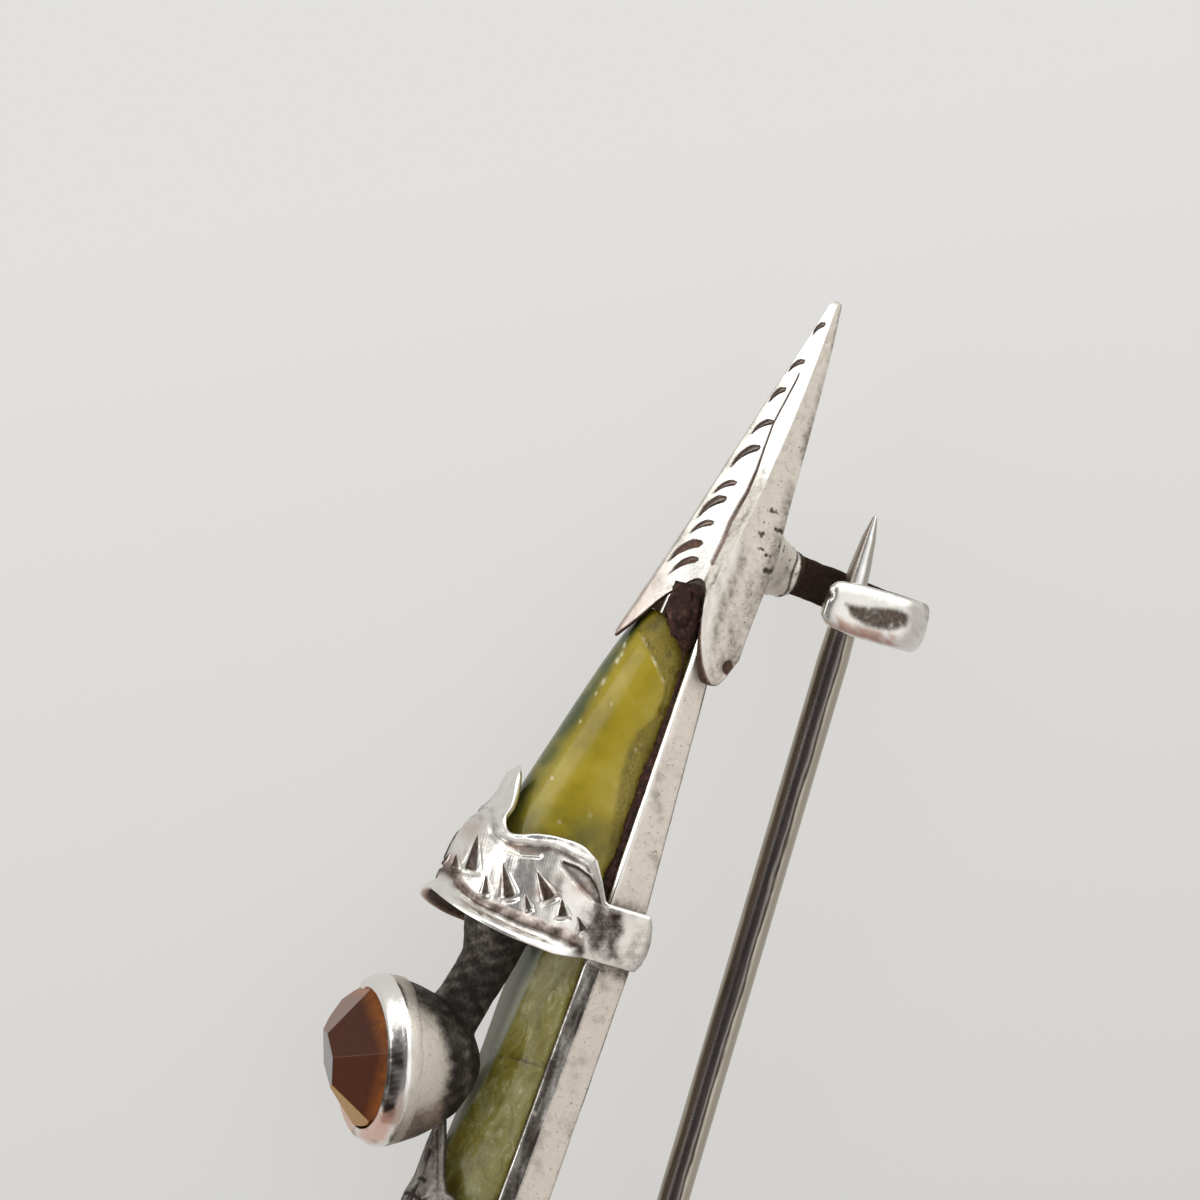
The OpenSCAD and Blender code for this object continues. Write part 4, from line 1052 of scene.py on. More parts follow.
# The leaf's raised edges and the eye between them, in the photograph
FIRST_EDGE = [(514.5, 768), (503, 788), (496.5, 803), (496, 818), (503, 829), (517, 835.5), (540, 838),
              (557, 838.5), (572, 845.5), (589, 854), (597, 860), (602, 875), (605.5, 890), (607, 905)]
SECOND_EDGE = [(489, 815), (491, 832), (503.5, 847), (520, 854), (539, 855.5)]
EYE_UPPER = [(563, 862), (577, 867), (589, 876), (597, 892), (600, 903)]
EYE_LOWER = [(562, 865), (572, 876), (584, 890), (597, 902)]
# Degrees round the rolled upper edge
CREST_TURN = (25, 50, 75, 100, 125, 150)
LEAF_L, COLLAR_SHEET = 5.1, 0.34
# Tones of the leaf, in the photograph, which paint its shade and reflections along with its brown tarnish:
# place, half widths, darkness, brownness
COLLAR_TONES = [(540, 849, 17, 6, 0.42, 0.15), (526, 869, 9, 13, 0.36, 0), (516, 846, 13, 4, 0.2, 0.6),
                (583, 887, 10, 7, 0.1, 0.5), (556, 880, 12, 7, 0.2, 0.2), (470, 828, 10, 12, 0.1, 0.3),
                (545, 892, 16, 7, 0.3, 0.35), (598, 915, 12, 9, 0.45, 0.1), (590, 936, 14, 8, 0.35, 0.1),
                (612, 905, 8, 12, 0.25, 0), (500, 880, 9, 10, 0.25, 0.3), (452, 862, 9, 9, 0.2, 0.4)]


def build_collar():
    """The leaf-edged band with its flared rim."""
    half, side_z, height = 4.5, 3.2, 8.9
    wall_z = np.concatenate([[-0.3, -0.2, -0.1], np.linspace(0, side_z, 60, endpoint=False)])
    arc = np.radians(np.concatenate([np.linspace(0, 97, 240), np.linspace(99, 180, 60)]))
    far_z = np.linspace(side_z, -0.3, 18)[1:]
    # columns: their kind (1 a wall, 2 the front's arc, 0 the back), their place on it and their side
    cols = [(1, z, 1) for z in wall_z] + [(2, a, 1) for a in arc] + [(1, z, -1) for z in far_z]
    cols += [(0, y, 0) for y in np.linspace(-4.42, 4.42, 14)]
    kind, val, sign = [np.array(column) for column in zip(*cols)]
    angle = np.where(kind == 2, val, 0.0)
    lift = np.where(angle > math.pi / 2, math.pi - angle, angle)
    top_share = np.where(kind == 2, curve(np.degrees(lift), LEAF_ARC),
                         np.where(kind == 1, curve(val, [(-1, 0), (2.1, 0), (2.78, 0.215), (3.2, 0.36)]), 0))
    rim = np.where(kind == 2, 1.0, np.where(kind == 1, smooth(val, 2.75, 3.1), 0))
    low_front = curve(np.degrees(lift), [(0, 0.18), (12, 0.08), (25, -0.025), (40, -0.24), (50, -0.4),
                                         (60, -0.58), (70, -0.78), (80, -0.97), (90, -1.12)])
    low = BAND_X + np.where(kind == 2, low_front, 0.18 * rim)
    top = COLLAR_X - LEAF_L * top_share
    v_out = np.concatenate([[0, 0.008, 0.02, 0.035, 0.05, 0.065, 0.08, 0.1, 0.12], np.linspace(0.14, 1, 150)])

    def sheet(v, t):
        """The ring at the share v of the way up from the rim, drawn in by t."""
        x = low + v * (top - low)
        flare = rim * curve(v, [(0, 1), (0.03, 0.96), (0.06, 0.74), (0.085, 0.32), (0.12, 0.04), (0.17, 0),
                                (1, 0)])
        under = curve(x, [(30.7, -0.1), (31.2, -0.32), (32.0, -0.46), (32.8, -0.36), (33.45, 0.0)]) + t
        bulge = 0.13 * unit(1 - ((x - 32.1) / 1.45) ** 2) * smooth(3.0 - val, 0, 0.8)
        bulge = bulge * (kind == 1) * (sign > 0)
        high = height * curve((COLLAR_X - x) / LEAF_L, [(-0.6, 1), (0, 0.985), (0.3, 0.955), (0.5, 0.9),
                                                        (0.62, 0.84), (1, 0.79)])
        h = np.minimum(half, half - 0.1 * (COLLAR_X - x))
        s = side_z + 1.3 * flare
        wide, top_z = h + 0.4 * flare - t, high + 0.6 * flare - t
        y = np.where(kind == 2, wide * np.cos(angle),
                     np.where(kind == 1, sign * (wide + bulge - 0.08 * smooth(-val, 0, 0.35)),
                              val * (h - t) / half))
        z = np.where(kind == 2, s + (top_z - s) * np.sin(angle),
                     np.where(kind == 1, np.maximum(val + (s - side_z) * smooth(val, 2.2, 3.2), under),
                              under))
        return np.stack([x, y, z], -1)

    p = np.stack([sheet(v, 0.0) for v in v_out])
    n = grid_normals(p)
    px = photo_px(p)
    v = v_out[:, None] * np.ones(len(cols))
    on = smooth(p[..., 2], 1.2, 2.2) * ((kind >= 1) * 1.0)[None, :]
    rise = 0.02 * lumps(p, 1.3, 71, 3)
    red, green, blue = np.zeros_like(v), np.zeros_like(v), np.zeros_like(v)
    d1, side1, _ = stroke(px, FIRST_EDGE)
    d2, _, _ = stroke(px, SECOND_EDGE)
    leaf_side = on * (side1 > 0)
    edges = np.maximum(bell(d1, 4.4), bell(d2, 2.4) * smooth(px[..., 1], 822, 832))
    rise += on * (0.17 * bell(d1, 4.6) + 0.12 * bell(d2, 2.6))
    under = leaf_side * bell(d1 - 9.5, 3.0) * smooth(px[..., 0], 494, 504)
    rise -= 0.12 * under
    wide_wave = px_lumps(px, 12, 12, 2.6, 74)
    grow(red, 0.6 * under * smooth(wide_wave, -1.2, 0.6) * (1 - edges))
    # painted shade and reflections, with brown tarnish, in soft spots
    for x, y, half_x, half_y, dark, brown in COLLAR_TONES:
        tint = on * spot(px, x, y, half_x, half_y)
        grow(red, dark * tint * (0.85 + 0.5 * wide_wave) * (1 - edges))
        grow(green, brown * tint * (1 - edges))
    eye = inside(px, EYE_UPPER + EYE_LOWER[::-1], 1.2)
    du, _, _ = stroke(px, EYE_UPPER)
    rise -= on * (0.14 * eye + 0.1 * bell(du, 1.6))
    grow(red, on * (0.35 * eye + 0.8 * bell(du, 1.5)))
    dl, _, _ = stroke(px, EYE_LOWER)
    rise += 0.08 * on * bell(dl, 2.2)
    for tip, base, w in LEAF_CUTS:
        tip, base = np.array(tip, float), np.array(base, float)
        along = base - tip
        length = np.hypot(*along)
        e = along / length
        r = px - tip
        a = (r @ e) / length
        q = (r @ np.array([-e[1], e[0]])) / np.maximum(w * np.clip(a, 0.02, 1.2), 0.4)
        cut = unit(1 - np.abs(q) ** 1.5) * smooth(a, 0, 0.35) * smooth(1.12 - a, 0, 0.14)
        lean = 0.6 + 0.4 * np.clip(q, -1, 1)
        rise -= 0.24 * on * cut * lean * (0.5 + 0.5 * unit(a))
        grow(red, on * 0.95 * smooth(cut, 0.05, 0.45) * (0.65 + 0.35 * lean))
        lip = bell((r - along * 1.13) @ e, 2.4) * unit(1 - np.abs(q * 0.75) ** 2) * (a > 0.8)
        rise += 0.14 * on * lip
        red *= 1 - 0.9 * on * lip
        flank = bell(np.abs(q) - 1.35, 0.3) * smooth(a, 0.2, 0.7) * smooth(1.05 - a, 0, 0.1)
        rise += 0.04 * on * flank
    recess = rim[None, :] * bell(v - 0.17, 0.055)
    rise -= 0.16 * recess
    streak = px_lumps(px, 14, 14, 3.0, 73)
    # painted shadow: a darker band in the recess above the rim, with a brown tint
    grow(red, rim[None, :] * smooth(v, 0.085, 0.12) * smooth(0.28 - v, 0, 0.1) * unit(0.36 + 0.4 * streak))
    grow(green, 0.3 * rim[None, :] * smooth(v, 0.1, 0.14) * smooth(0.3 - v, 0, 0.1))
    veins = px_lumps(px, 20, 40, 4.5, 75)
    leaf = on * smooth(v, 0.22, 0.3)
    rise += 0.03 * leaf * veins
    grow(red, 0.22 * leaf * smooth(veins, 0.1, 0.8))
    smudge = inside(px, [(598, 905), (612, 908), (622, 914), (623, 930), (616, 944), (622, 962), (608, 960),
                         (590, 948), (586, 930)], 7)
    ring = inside(px, [(612, 912), (622, 914), (624, 932), (614, 946), (620, 960), (610, 958), (606, 942)], 4)
    grow(red, unit(0.5 + 0.4 * wide_wave) * smudge)
    grow(red, unit(0.65 + 0.35 * wide_wave) * ring)
    grow(red, 0.85 * spot(px, 580, 951, 5, 6))
    flat_band = smooth(3.0 - p[..., 2], 0, 0.5)
    grow(blue, 0.45 * flat_band)
    grow(blue, 0.12 * leaf * (1 - edges))
    grow(red, 0.24 * flat_band * smooth(wide_wave, -0.6, 0.8))
    # the painted shadow in the recess is dull too
    grow(blue, 0.6 * recess)
    broken = np.exp(-((np.abs(p[..., 1]) - 4.85) / 0.35) ** 2 - ((p[..., 2] - 3.6) / 0.6) ** 2)
    broken = broken * smooth(0.06 - v, 0, 0.06)
    rise -= 0.22 * broken * (0.6 + 0.6 * lumps(p, 5.0, 77, 2))
    rise += 0.012 * lumps(p, 4.0, 79, 3) * (rim[None, :] * smooth(0.08 - v, 0, 0.05))
    p = p + n * rise[..., None]
    # the rolled upper edge, the inside and the lower edge
    v_in = np.linspace(1, 0, 24)
    q = np.stack([sheet(s, COLLAR_SHEET) for s in v_in])
    middle, reach = (p[-1] + q[0]) / 2, (p[-1] - q[0]) / 2
    crest = [middle + reach * math.cos(a) - np.array([0.19 * math.sin(a), 0, 0])
             for a in np.radians(CREST_TURN)]
    foot = [(p[0] + q[-1]) / 2 + np.array([0.03, 0, 0])]
    every = np.concatenate([p, crest, q, foot])
    tail = np.zeros((len(v_in) + len(crest) + 1, len(cols), 3))
    tail[len(crest):] = (0.7, 0.6, 0.6)
    tail[-1, :] = (0.15, 0.85, 0.3)
    tail[-2, :] = (0.35, 0.85, 0.5)
    mask = np.concatenate([np.stack([red, green, blue], -1), tail])
    return make("leaf_collar", every, ring_faces, COLLAR_SILVER, ["collar"], mask, flip=True)


# Neck and cup
def in_cup(p):
    """Cup directions (hilt's side, near side, out) to the brooch's."""
    x, y, z = np.moveaxis(np.asarray(p, float), -1, 0)
    c, s = math.cos(CUP_LEAN), math.sin(CUP_LEAN)
    return np.stack([x * c + z * s, y, z * c - x * s], -1) + CUP_CENTRE


def turned(profile, segments):
    """A profile of (radius, height) turned round the cup's axis."""
    a = np.linspace(0, 2 * math.pi, segments, endpoint=False)
    r, z = np.array(profile, float).T
    return np.stack([r[:, None] * np.cos(a), r[:, None] * np.sin(a), z[:, None] + 0 * a], -1)


def remeshed(parts, voxel, smoothing):
    """One skin over several closed shapes: its points, their normals and its faces."""
    mesh = bpy.data.meshes.new("joined")
    points, faces, start = [], [], 0
    for p, f in parts:
        p = np.asarray(p, float).reshape(-1, 3)
        points.extend(map(tuple, p))
        faces.extend(tuple(int(i) + start for i in face) for face in f)
        start += len(p)
    mesh.from_pydata(points, [], faces)
    obj = bpy.data.objects.new("joined", mesh)
    bpy.context.scene.collection.objects.link(obj)
    mod = obj.modifiers.new("skin", "REMESH")
    mod.mode = "VOXEL"
    mod.voxel_size = voxel
    soft = obj.modifiers.new("soft", "SMOOTH")
    soft.factor = 0.5
    soft.iterations = smoothing
    bpy.context.view_layer.update()
    done = obj.evaluated_get(bpy.context.evaluated_depsgraph_get()).to_mesh()
    co = np.empty(len(done.vertices) * 3)
    done.vertices.foreach_get("co", co)
    normal = np.empty(len(done.vertices) * 3)
    done.vertices.foreach_get("normal", normal)
    out_faces = [tuple(poly.vertices) for poly in done.polygons]
    bpy.data.objects.remove(obj)
    return co.reshape(-1, 3), normal.reshape(-1, 3), out_faces


def build_neck():
    """The cup's bowl and the neck that carries it, as one skin."""
    bowl_curve = [(1, 0), (0.985, 0.08), (0.95, 0.19), (0.88, 0.36), (0.8, 0.5), (0.62, 0.73), (0.36, 0.9),
                  (0.18, 0.975), (0.0, 1.0)]
    profile = [(0, -0.35), (CUP_R - 0.25, -0.35)] + [(CUP_R * r, -CUP_DEPTH * d) for r, d in bowl_curve][1:]
    prof = resampled(profile, (-1, 60))
    prof[0, 0], prof[-1, 0] = 0.01, 0.01
    bowl = in_cup(turned(prof, 96))
    rows = fine_rows([(31.95, 0, 5.7, 2.4, 1.75), (32.6, 0, 5.6, 2.15, 1.65), (33.4, 0, 5.5, 2.0, 1.55),
                      (34.4, 0, 5.47, 1.5, 1.36), (35.5, 0, 5.68, 1.3, 1.3), (36.4, 0, 5.95, 1.3, 1.3),
                      (37.7, 0, 6.45, 1.5, 1.4), (38.6, 0, 6.8, 1.7, 1.5)], 60)
    neck = tube(rows, 72)
    angles = np.radians(np.linspace(10, 170, 40))
    plate = np.array([[(x, 4.36 * math.cos(b), max(3.95, 3.2 + 5.5 * math.sin(b))) for b in angles]
                      for x in (31.85, 32.5)])
    p, n, faces = remeshed([(grid, closed_faces(*grid.shape[:2])) for grid in (bowl, neck, plate)],
                           voxel=0.075, smoothing=14)
    px = photo_px(p)
    c, s = math.cos(CUP_LEAN), math.sin(CUP_LEAN)
    rel = p - CUP_CENTRE
    out = rel[:, 0] * s + rel[:, 2] * c
    # how far a point belongs to the neck rather than to the bowl
    neckward = smooth(38.6 - p[:, 0], 0, 2.2) * smooth(8.6 - p[:, 2], 0, 1.2)
    mottle = lumps(p, 1.7, 81, 4)
    fine = lumps(p, 6.0, 83, 3)
    back = inside(px, [(388, 970), (397, 992), (418, 1005), (436, 1017), (446, 1042), (451, 1068),
                       (446, 1090), (438, 1112), (446, 1132), (474, 1112), (494, 1075), (494, 1030),
                       (474, 980), (430, 955)], 7)
    bowl_dark = back * unit(0.8 + 0.3 * mottle + 0.2 * fine) * smooth(p[:, 1], -0.5, 0.8)
    hidden = smooth(0.8 - p[:, 1], 0, 1.3) * smooth(-out, 0.6, 2.6)
    grow(bowl_dark, hidden * unit(0.6 + 0.4 * mottle))
    patch = inside(px, [(403, 1088), (416, 1086), (418, 1098), (409, 1112), (399, 1108)], 4)
    grow(bowl_dark, 0.75 * patch * (0.8 + 0.4 * fine))
    lower = inside(px, [(388, 1116), (425, 1110), (452, 1094), (470, 1100), (430, 1138), (382, 1152)], 8)
    grow(bowl_dark, 0.4 * lower * (0.8 + 0.5 * mottle))
    red = unit(np.maximum(neckward * (0.74 + 0.16 * fine + 0.14 * mottle), bowl_dark))
    green = unit(0.3 * lower * (1 - neckward))
    blue = unit(0.85 + 0.1 * neckward)
    rough = 0.035 * neckward * lumps(p, 2.6, 85, 3) + 0.02 * neckward * fine + 0.008 * lumps(p, 1.2, 87, 2)
    p = p + n * rough[:, None]
    return make("neck_and_bowl", p, faces, CUP_SILVER, (), np.stack([red, green, blue], -1))


def build_cup_rim():
    """The cup's bevelled ring, which holds the gem."""
    corner = [(3.85, -0.98), (3.98, -0.8), (4.035, -0.66), (4.08, -0.5), (4.12, -0.3), (4.15, -0.1),
              (4.12, 0.06), (4.02, 0.24), (3.92, 0.43), (3.82, 0.62), (3.76, 0.72), (3.7, 0.775),
              (3.6, 0.79), (3.45, 0.79), (3.34, 0.775), (3.28, 0.73), (3.25, 0.6), (3.24, 0.35),
              (3.22, -0.05), (3.0, -0.2), (2.5, -0.3), (2.5, -0.9)]
    local = turned(resampled(corner, (16, 90), (-1, 16)), 220)
    around = np.degrees(np.arctan2(local[..., 1], local[..., 0])) % 360
    radius = np.hypot(local[..., 0], local[..., 1])
    wider = 0.15 * bell(around - 180, 35) * smooth(4.12 - radius, 0, 0.3)
    local[..., :2] *= 1 + (wider / radius)[..., None]
    local[..., 2] -= 0.55 * bell(around - 236, 36) * unit(local[..., 2])
    p = in_cup(local)
    n = grid_normals(p, wrap=True)
    px = photo_px(p)
    wave = lumps(p, 1.3, 91, 3)
    fine = lumps(p, 6.0, 93, 2)
    p = p + n * (0.018 * wave + 0.008 * fine)[..., None]
    z = local[..., 2]
    dark = inside(px, [(384, 1040), (398, 1038), (404, 1045), (405, 1066), (400, 1090), (394, 1108),
                       (384, 1112), (380, 1100), (386, 1080), (388, 1060)], 3)
    pink = inside(px, [(366, 1118), (380, 1112), (392, 1104), (396, 1112), (385, 1140), (368, 1146),
                       (358, 1136)], 4)
    sheen = lumps(p, 2.6, 92, 3)
    within = 0.9 * smooth(0.72 - z, 0, 0.2) * smooth(3.4 - np.hypot(local[..., 0], local[..., 1]), 0, 0.05)
    red = unit(0.8 * dark * (0.75 + 0.7 * sheen) + 0.25 * pink * smooth(sheen, 0, 0.8) + within)
    green = 0.75 * pink
    blue = 0.85 * smooth(-0.05 - z, 0, 0.3)
    return make("cup_rim", p, ring_faces, CUP_SILVER, (), np.stack([red, green, blue], -1),
                flip=True)


# Gem
# Each facet: its angle from the hilt's side towards the near side, its slope, its distance and its tone, which
# paints the light the facet shows; the near-flat table's grey is a painted reflection
GEM_FACETS = [(143, 41, 0.95, (0.05, 0.014, 0.006)), (67, 40, 0.97, (0.065, 0.014, 0.003)),
              (15, 40, 1.16, (0.36, 0.2, 0.055)), (186, 40, 1.17, (0.16, 0.085, 0.06)),
              (225, 40, 1.45, (0.15, 0.08, 0.055)), (277, 42, 1.22, (0.1, 0.04, 0.015)),
              (322, 42, 1.12, (0.2, 0.09, 0.03)), (-57, 10, 1.02, (0.16, 0.155, 0.16))]
GEM_SHIFT, GEM_R = (-0.2, -0.15, 0), 3.4


def build_gem():
    """The faceted stone, cut from a cylinder by one plane for each facet."""
    r, girdle, crown, depth = GEM_R, 0.35, 2.0, 2.2
    bm = bmesh.new()
    bmesh.ops.create_cone(bm, cap_ends=True, segments=64, radius1=r, radius2=r, depth=crown * 1.5 + depth)
    bmesh.ops.translate(bm, verts=bm.verts, vec=Vector(GEM_SHIFT) + Vector((0, 0, (crown * 1.5 - depth) / 2)))
    layer = bm.faces.layers.float_vector.new("tone")
    for f in bm.faces:
        f[layer] = (0.06, 0.025, 0.01)

    def slice_off(point, normal, tone):
        geom = bm.verts[:] + bm.edges[:] + bm.faces[:]
        bmesh.ops.bisect_plane(bm, geom=geom, plane_co=point, plane_no=normal, clear_outer=True)
        rim = [e for e in bm.edges if e.is_boundary]
        for f in bmesh.ops.holes_fill(bm, edges=rim, sides=0)["faces"]:
            f[layer] = tone

    for angle, slope, reach, tone in GEM_FACETS:
        a, s = math.radians(angle), math.radians(slope)
        normal = Vector((math.sin(s) * math.cos(a), math.sin(s) * math.sin(a), math.cos(s)))
        slice_off(normal * reach * crown, normal, tone)
    slope = math.atan2(r * 0.97 - 0.5, depth - 0.25)
    for i in range(8):
        a = i * math.pi / 4
        normal = Vector((math.cos(slope) * math.cos(a), math.cos(slope) * math.sin(a), -math.sin(slope)))
        slice_off(Vector((0.5 * math.cos(a), 0.5 * math.sin(a), -depth)), normal, (0.05, 0.02, 0.008))
    bm.normal_update()
    keen = [e for e in bm.edges if len(e.link_faces) == 2 and e.calc_face_angle(0) > 0.25]
    bmesh.ops.bevel(bm, geom=keen, offset=0.02, segments=1, affect="EDGES", material=-1)
    local = [tuple(v.co) for v in bm.verts]
    bm.verts.index_update()
    faces = [tuple(v.index for v in f.verts) for f in bm.faces]
    tones = [tuple(f[layer]) for f in bm.faces]
    bm.free()
    points = in_cup(np.array(local) + np.array([0, 0, girdle]))
    obj = make("faceted_gem", points, faces, AMBER, ["gem"])
    layer = obj.data.color_attributes.new("mask", "FLOAT_COLOR", "CORNER")
    for poly in obj.data.polygons:
        poly.use_smooth = False
        for loop in poly.loop_indices:
            layer.data[loop].color = (*tones[poly.index], 1)
    return obj


# Hilt
# Along the grip and the pommel: shares of the half width, the height and the depth of the back
MOUNT_ROWS = np.array([(0, 1, 0.94, 1), (0.08, 1, 1, 1), (0.2, 1, 1, 1), (0.28, 0.98, 0.97, 0.9),
                       (0.33, 0.89, 0.9, 0.1), (0.38, 0.86, 0.88, 0), (0.47, 0.82, 0.85, 0),
                       (0.58, 0.85, 0.87, 0), (0.68, 0.93, 0.92, 0), (0.74, 0.97, 0.95, 0),
                       (0.78, 0.9, 0.9, 0), (0.8, 1.0, 0.9, 0)])
POMMEL_ROWS = np.array([(0.8, 0.8, 0.9, 0.1), (0.82, 0.95, 0.95, 0.25), (0.85, 1, 0.98, 0.3),
                        (0.92, 1, 0.98, 0.38), (0.95, 0.97, 0.96, 0.3), (0.975, 0.86, 0.88, 0),
                        (0.99, 0.68, 0.76, -0.6), (1, 0.45, 0.6, -1.6)])
# Degrees round the hilt from its side: how far its upper edge reaches up as lobes
LOBES = [(-90, 0), (0, -0.02), (20, -0.08), (35, -0.25), (50, -0.2), (66, 0.1), (80, 0.7), (90, 1)]
# Lines cut into the mount's front lobe, in the photograph
LATTICE = [[(352, 1200), (392, 1118), (428, 1126)], [(372, 1200), (404, 1122)], [(392, 1200), (418, 1130)],
           [(352, 1160), (380, 1168), (420, 1200)], [(366, 1136), (392, 1150), (424, 1180)],
           [(345, 1182), (372, 1192)], [(410, 1200), (430, 1150)]]
POMMEL_HALF, MOUNT_SHEET, MOUNT_HOLLOW_X = 4.766, 0.38, 50.1


def build_hilt():
    """The carved mount with its grip and pommel."""
    length, half, height = 16.3, 4.0, 5.95
    low_q = np.linspace(0, 1, 40)
    arc = np.linspace(0, math.pi, 230)
    rows_u = np.concatenate([np.linspace(0, 0.2, 110), np.linspace(0.205, 0.44, 60),
                             np.linspace(0.45, 1, 120)])
    lift = np.concatenate([low_q[1:][::-1] * 0 - 1, np.where(arc > math.pi / 2, math.pi - arc, arc),
                           low_q[1:] * 0 - 1])
    n_low = len(low_q) - 1
    lobe = curve(np.degrees(np.maximum(lift, 0)), LOBES)
    low_lobe = -0.02 * (1 - np.concatenate([low_q[1:][::-1], arc * 0, low_q[1:]]))
    lobe = np.where(lift < 0, low_lobe, lobe)
    degrees = np.degrees(lift)
    teeth = 0.2 * np.abs(np.sin(np.radians(degrees * 9))) * smooth(degrees, 1, 8)
    teeth = teeth * smooth(60 - degrees, 0, 10)
    open_x = MOUNT_X - 3 * lobe - teeth * (lift > 0)

    def ring(x, t):
        """Points of one ring per row of x, drawn in by t."""
        v = unit((x - MOUNT_X) / length)
        grip = v < 0.8
        share = [np.where(grip, curve(v, MOUNT_ROWS[:, [0, k]]), curve(v, POMMEL_ROWS[:, [0, k]]))
                 for k in (1, 2, 3)]
        blend = smooth(v, 0.77, 0.82)
        h = (half + (POMMEL_HALF - half) * blend) * share[0] - t
        side = 2.4 + 0.6 * blend
        top = height * share[1] - t
        back = -0.45 * share[2] + t
        out = np.zeros((*x.shape, 3))
        for j in range(x.shape[-1]):
            if n_low <= j < n_low + len(arc):
                a = arc[j - n_low]
                y = h[..., j] * math.cos(a)
                z = side[..., j] + (top[..., j] - side[..., j]) * math.sin(a)
            else:
                near = j < n_low
                q = low_q[1:][::-1][j] if near else low_q[1:][j - n_low - len(arc)]
                wall, floor_l = side[..., j] - back[..., j], h[..., j]
                run = q * (wall + floor_l)
                ys = np.where(run < wall, h[..., j], h[..., j] - (run - wall))
                zs = np.where(run < wall, side[..., j] - run, back[..., j])
                ye = h[..., j] * math.cos(q * math.pi / 2)
                ze = side[..., j] - wall * math.sin(q * math.pi / 2)
                k = smooth(x[..., j], 50.0, 51.0)
                y = (ys * (1 - k) + ye * k) * (1 if near else -1)
                z = zs * (1 - k) + ze * k
            out[..., j, 0], out[..., j, 1], out[..., j, 2] = x[..., j], y, z
        return out

    u = rows_u[:, None]
    x = open_x[None, :] + u * (MOUNT_X + length - open_x)[None, :]
    p = rounded(ring(x, 0.0), 2)
    n = grid_normals(p)
    px = photo_px(p)
    v = (p[..., 0] - MOUNT_X) / length
    carved = smooth(0.3 - v, 0, 0.03) * smooth(p[..., 2], 1.0, 1.8)
    cut = np.zeros(v.shape)
    for path in LATTICE:
        d, _, _ = stroke(px, path)
        grow(cut, bell(d, 1.5))
    along, turn_by = p[..., 0], np.degrees(np.arctan2(p[..., 2] - 1.0, np.abs(p[..., 1])))
    for sign in (1, -1):
        wave = np.abs((along * 0.62 + sign * turn_by / 22.0) % 1.0 - 0.5)
        grow(cut, bell(wave, 0.05) * smooth(v, 0.03, 0.06))
    depth = 0.1 * cut * carved
    border = bell(p[..., 0] - open_x[None, :] - 0.5, 0.12) * smooth(p[..., 2], 1.0, 1.8)
    depth += 0.1 * border
    groove = sum(bell(v - c, 0.005) for c in (0.31, 0.755, 0.825, 0.945))
    depth += 0.08 * groove
    rough = lumps(p, 2.2, 95, 3)
    p = p - n * (depth - 0.02 * rough * carved)[..., None]
    fine = lumps(p, 6.0, 97, 3)
    red = unit(carved * (0.36 + 0.2 * rough + 0.16 * fine) + 0.7 * cut * carved + 0.7 * groove
               + 0.25 * (1 - carved) * smooth(rough, 0.2, 0.9))
    edge = smooth(open_x[None, :] + 0.16 - p[..., 0], 0, 0.1)
    red = red * (1 - 0.35 * edge)
    green = 0.15 * carved * smooth(rough, 0, 0.8)
    blue = 0.35 + 0.3 * carved
    inner_x = open_x[None, :] + np.linspace(0, 1, 12)[:, None] * (MOUNT_HOLLOW_X - open_x)[None, :]
    q = ring(inner_x, MOUNT_SHEET)
    lip = (p[0] + q[0]) / 2 - np.array([0.06, 0, 0])
    every = np.concatenate([q[::-1], lip[None], p])
    dull = np.zeros((len(q) + 1, p.shape[1], 3)) + np.array([0.7, 0.1, 0.6])
    dull[-1] = (0.4, 0.15, 0.5)
    mask = np.concatenate([dull, np.stack([red, green, blue], -1)])
    return make("hilt", every, closed_faces, CARVED_SILVER, ["hilt_mount"], mask,
                flip=True)


def build_fork():
    """Two ears on a post out of the grip's back, square to the floor."""
    s, c = math.sin(roll), math.cos(roll)

    def at_hinge(x, y, z):
        return (HINGE.x + x, y * s + z * c, HINGE.z - y * c + z * s)

    def slab(name, outline, z0, z1):
        r = 0.1
        middle = np.mean(outline, axis=0)
        rings = []
        for z, inset in ((z0, r), (z0 + 0.03, 0.03), (z0 + r, 0), (z1 - r, 0), (z1 - 0.03, 0.03), (z1, r)):
            ring = []
            for x, y in outline:
                d = np.array([x, y]) - middle
                d = d * (1 - inset / max(np.hypot(*d), 0.3))
                ring.append(at_hinge(middle[0] + d[0], middle[1] + d[1], z))
            rings.append(ring)
        rings = np.array(rings)
        mask = np.zeros((*rings.shape[:2], 3)) + np.array([0.12, 0, 0.25])
        return make(name, rings, closed_faces, CARVED_SILVER, (), mask, sharp=40)

    top = [(1.4 * math.cos(a), 1.4 * math.sin(a)) for a in np.linspace(0, math.pi, 30)]
    ear = top + [(-1.4, y) for y in (-0.6, -1.2, -1.75)] + [(1.4, y) for y in (-1.75, -1.2, -0.6)]
    slab("hinge_ear_upper", ear, 1.01, 1.71)
    slab("hinge_ear_lower", ear, -1.71, -1.01)
    post = [(1.4, -1.6), (0, -1.6), (-1.4, -1.6), (-1.4, -4.8), (-1.4, -8.1), (0, -8.1), (1.4, -8.1),
            (1.4, -4.8)]
    slab("hinge_post", post, -1.71, 1.71)


build_cap()
build_boss()
build_catch()
build_tray()
build_upper_stone()
build_seams()
build_lower_stone()
build_collar()
build_neck()
build_cup_rim()
build_gem()
build_hilt()
build_fork()


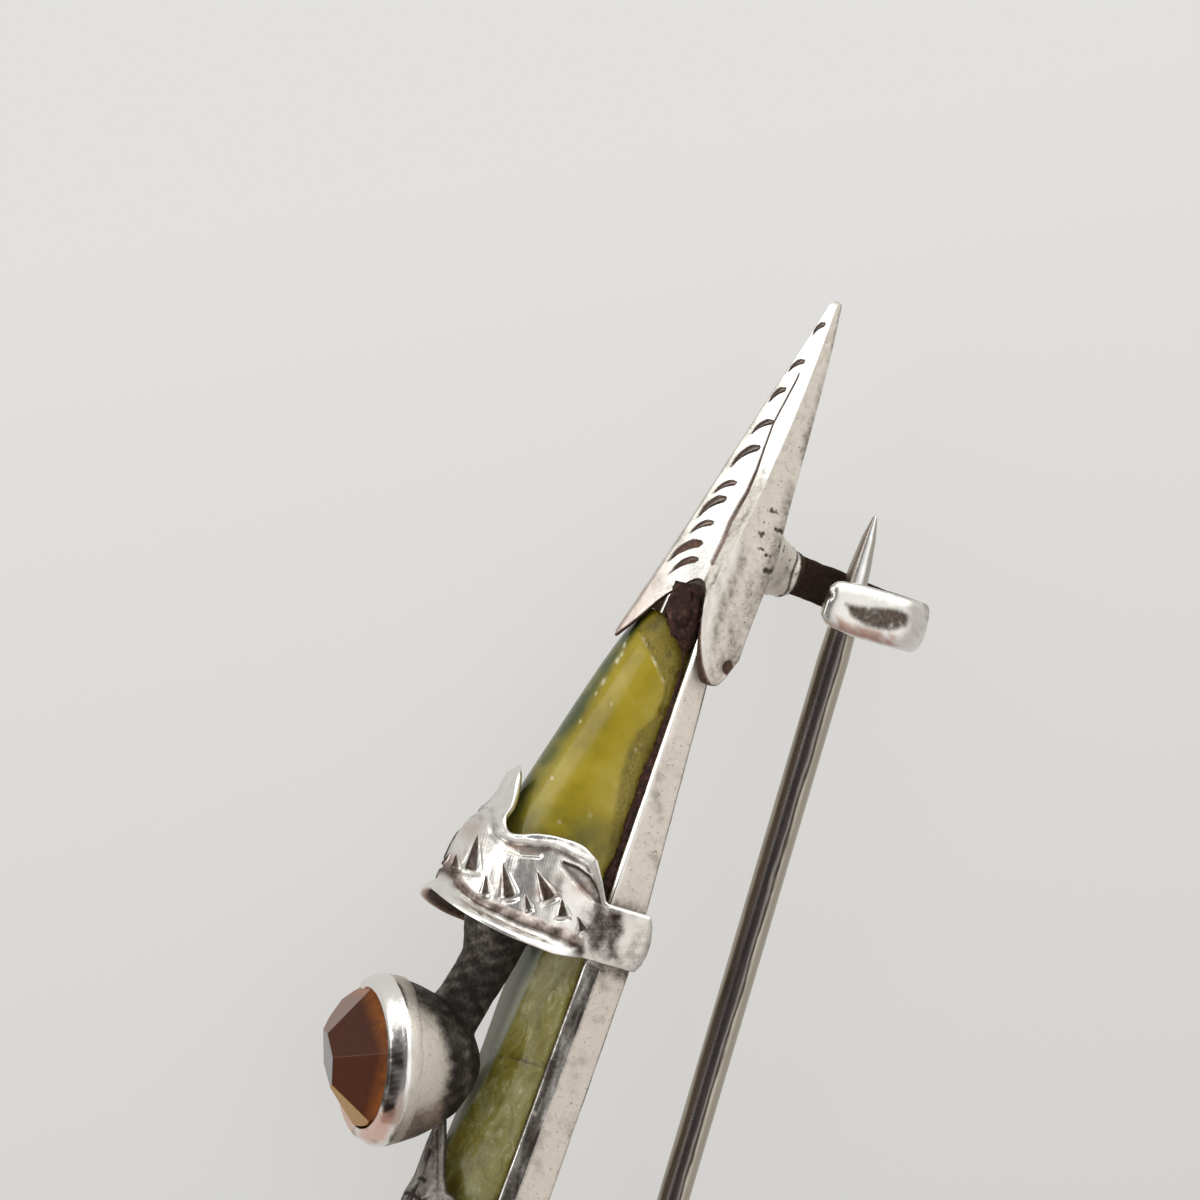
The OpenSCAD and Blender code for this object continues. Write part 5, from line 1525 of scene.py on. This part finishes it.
# Light
# Patches: direction (azimuth, elevation), half width and soft edge in degrees, and colour. Azimuth 0 is the
# brooch's front (-Y) and 90 is the hilt (+X). Elevation is above the floor.
PATCHES = [
    ((0, 12), 28, 14, (3.0, 3.0, 2.95)),
    ((-90, 25), 30, 20, (1.7, 1.7, 1.68)),
    ((0, 52), 12, 12, (0.2, 0.2, 0.215)),
    ((-42, 50), 12, 12, (0.25, 0.25, 0.265)),
    ((42, 46), 12, 12, (0.25, 0.24, 0.25)),
    ((90, 12), 24, 18, (0.42, 0.33, 0.3)),
    ((180, 15), 30, 20, (0.6, 0.58, 0.56)),
    ((180, 66), 14, 22, (1.15, 1.14, 1.12)),
]


def light_dome():
    """Soft studio light: a pale dome with brighter and darker patches."""
    world = bpy.data.worlds.new("studio")
    bpy.context.scene.world = world
    world.use_nodes = True
    tree = Tree(world.node_tree)
    world.node_tree.nodes.clear()
    out = tree.add("OutputWorld")
    background = tree.add("Background")
    tree.tree.links.new(background.outputs[0], out.inputs[0])
    coord = tree.add("TexCoord")
    direction = coord.outputs["Generated"]
    tone = (0.66, 0.65, 0.63, 1)
    for (azimuth, elevation), width, soft, colour in PATCHES:
        a, e = math.radians(azimuth), math.radians(elevation)
        towards = (math.cos(e) * math.sin(a), -math.cos(e) * math.cos(a), math.sin(e))
        inner, outer = math.cos(math.radians(width)), math.cos(math.radians(width + soft))
        share = tree.span(tree.dot(direction, towards), outer, inner)
        tone = tree.mix(share, tone, (*colour, 1))
    tree.put(background, "Color", tone)
    background.inputs["Strength"].default_value = 1.0


light_dome()


def paper_material():
    """Pale paper lit by a painted glow of its own, which fades a little towards the pommel and behind the
    brooch.
    """
    mat, t, shader = new_material("floor_paper")
    parts = t.add("SeparateXYZ")
    t.tree.links.new(place(t), parts.inputs[0])
    fall = t.plus(t.times(parts.outputs[0], 0.00166), t.times(parts.outputs[1], 0.00082))
    shader.inputs["Base Color"].default_value = (0.1, 0.1, 0.1, 1)
    shader.inputs["Roughness"].default_value = 0.9
    shader.inputs["Specular IOR Level"].default_value = 0.0
    # painted light: the paper's glow, which also lifts the brooch's shadows, falls off from 0.67 to 0.54
    level = t.span(fall, -0.065, 0.065, 0.67, 0.54)
    t.put(shader, "Emission Color", t.mix(level, (0, 0, 0), (1.0, 0.985, 0.955)))
    shader.inputs["Emission Strength"].default_value = 1.0
    return mat


# The floor lies a hair below the brooch, so that their faces don't fight
FLOOR_SIZE, FLOOR_Z = 3, -0.00002
bpy.ops.mesh.primitive_plane_add(size=FLOOR_SIZE, location=(0, 0, FLOOR_Z))
floor = bpy.context.object
floor.name = "floor"
floor.data.materials.append(paper_material())
bpy.context.scene.view_settings.view_transform = "Standard"
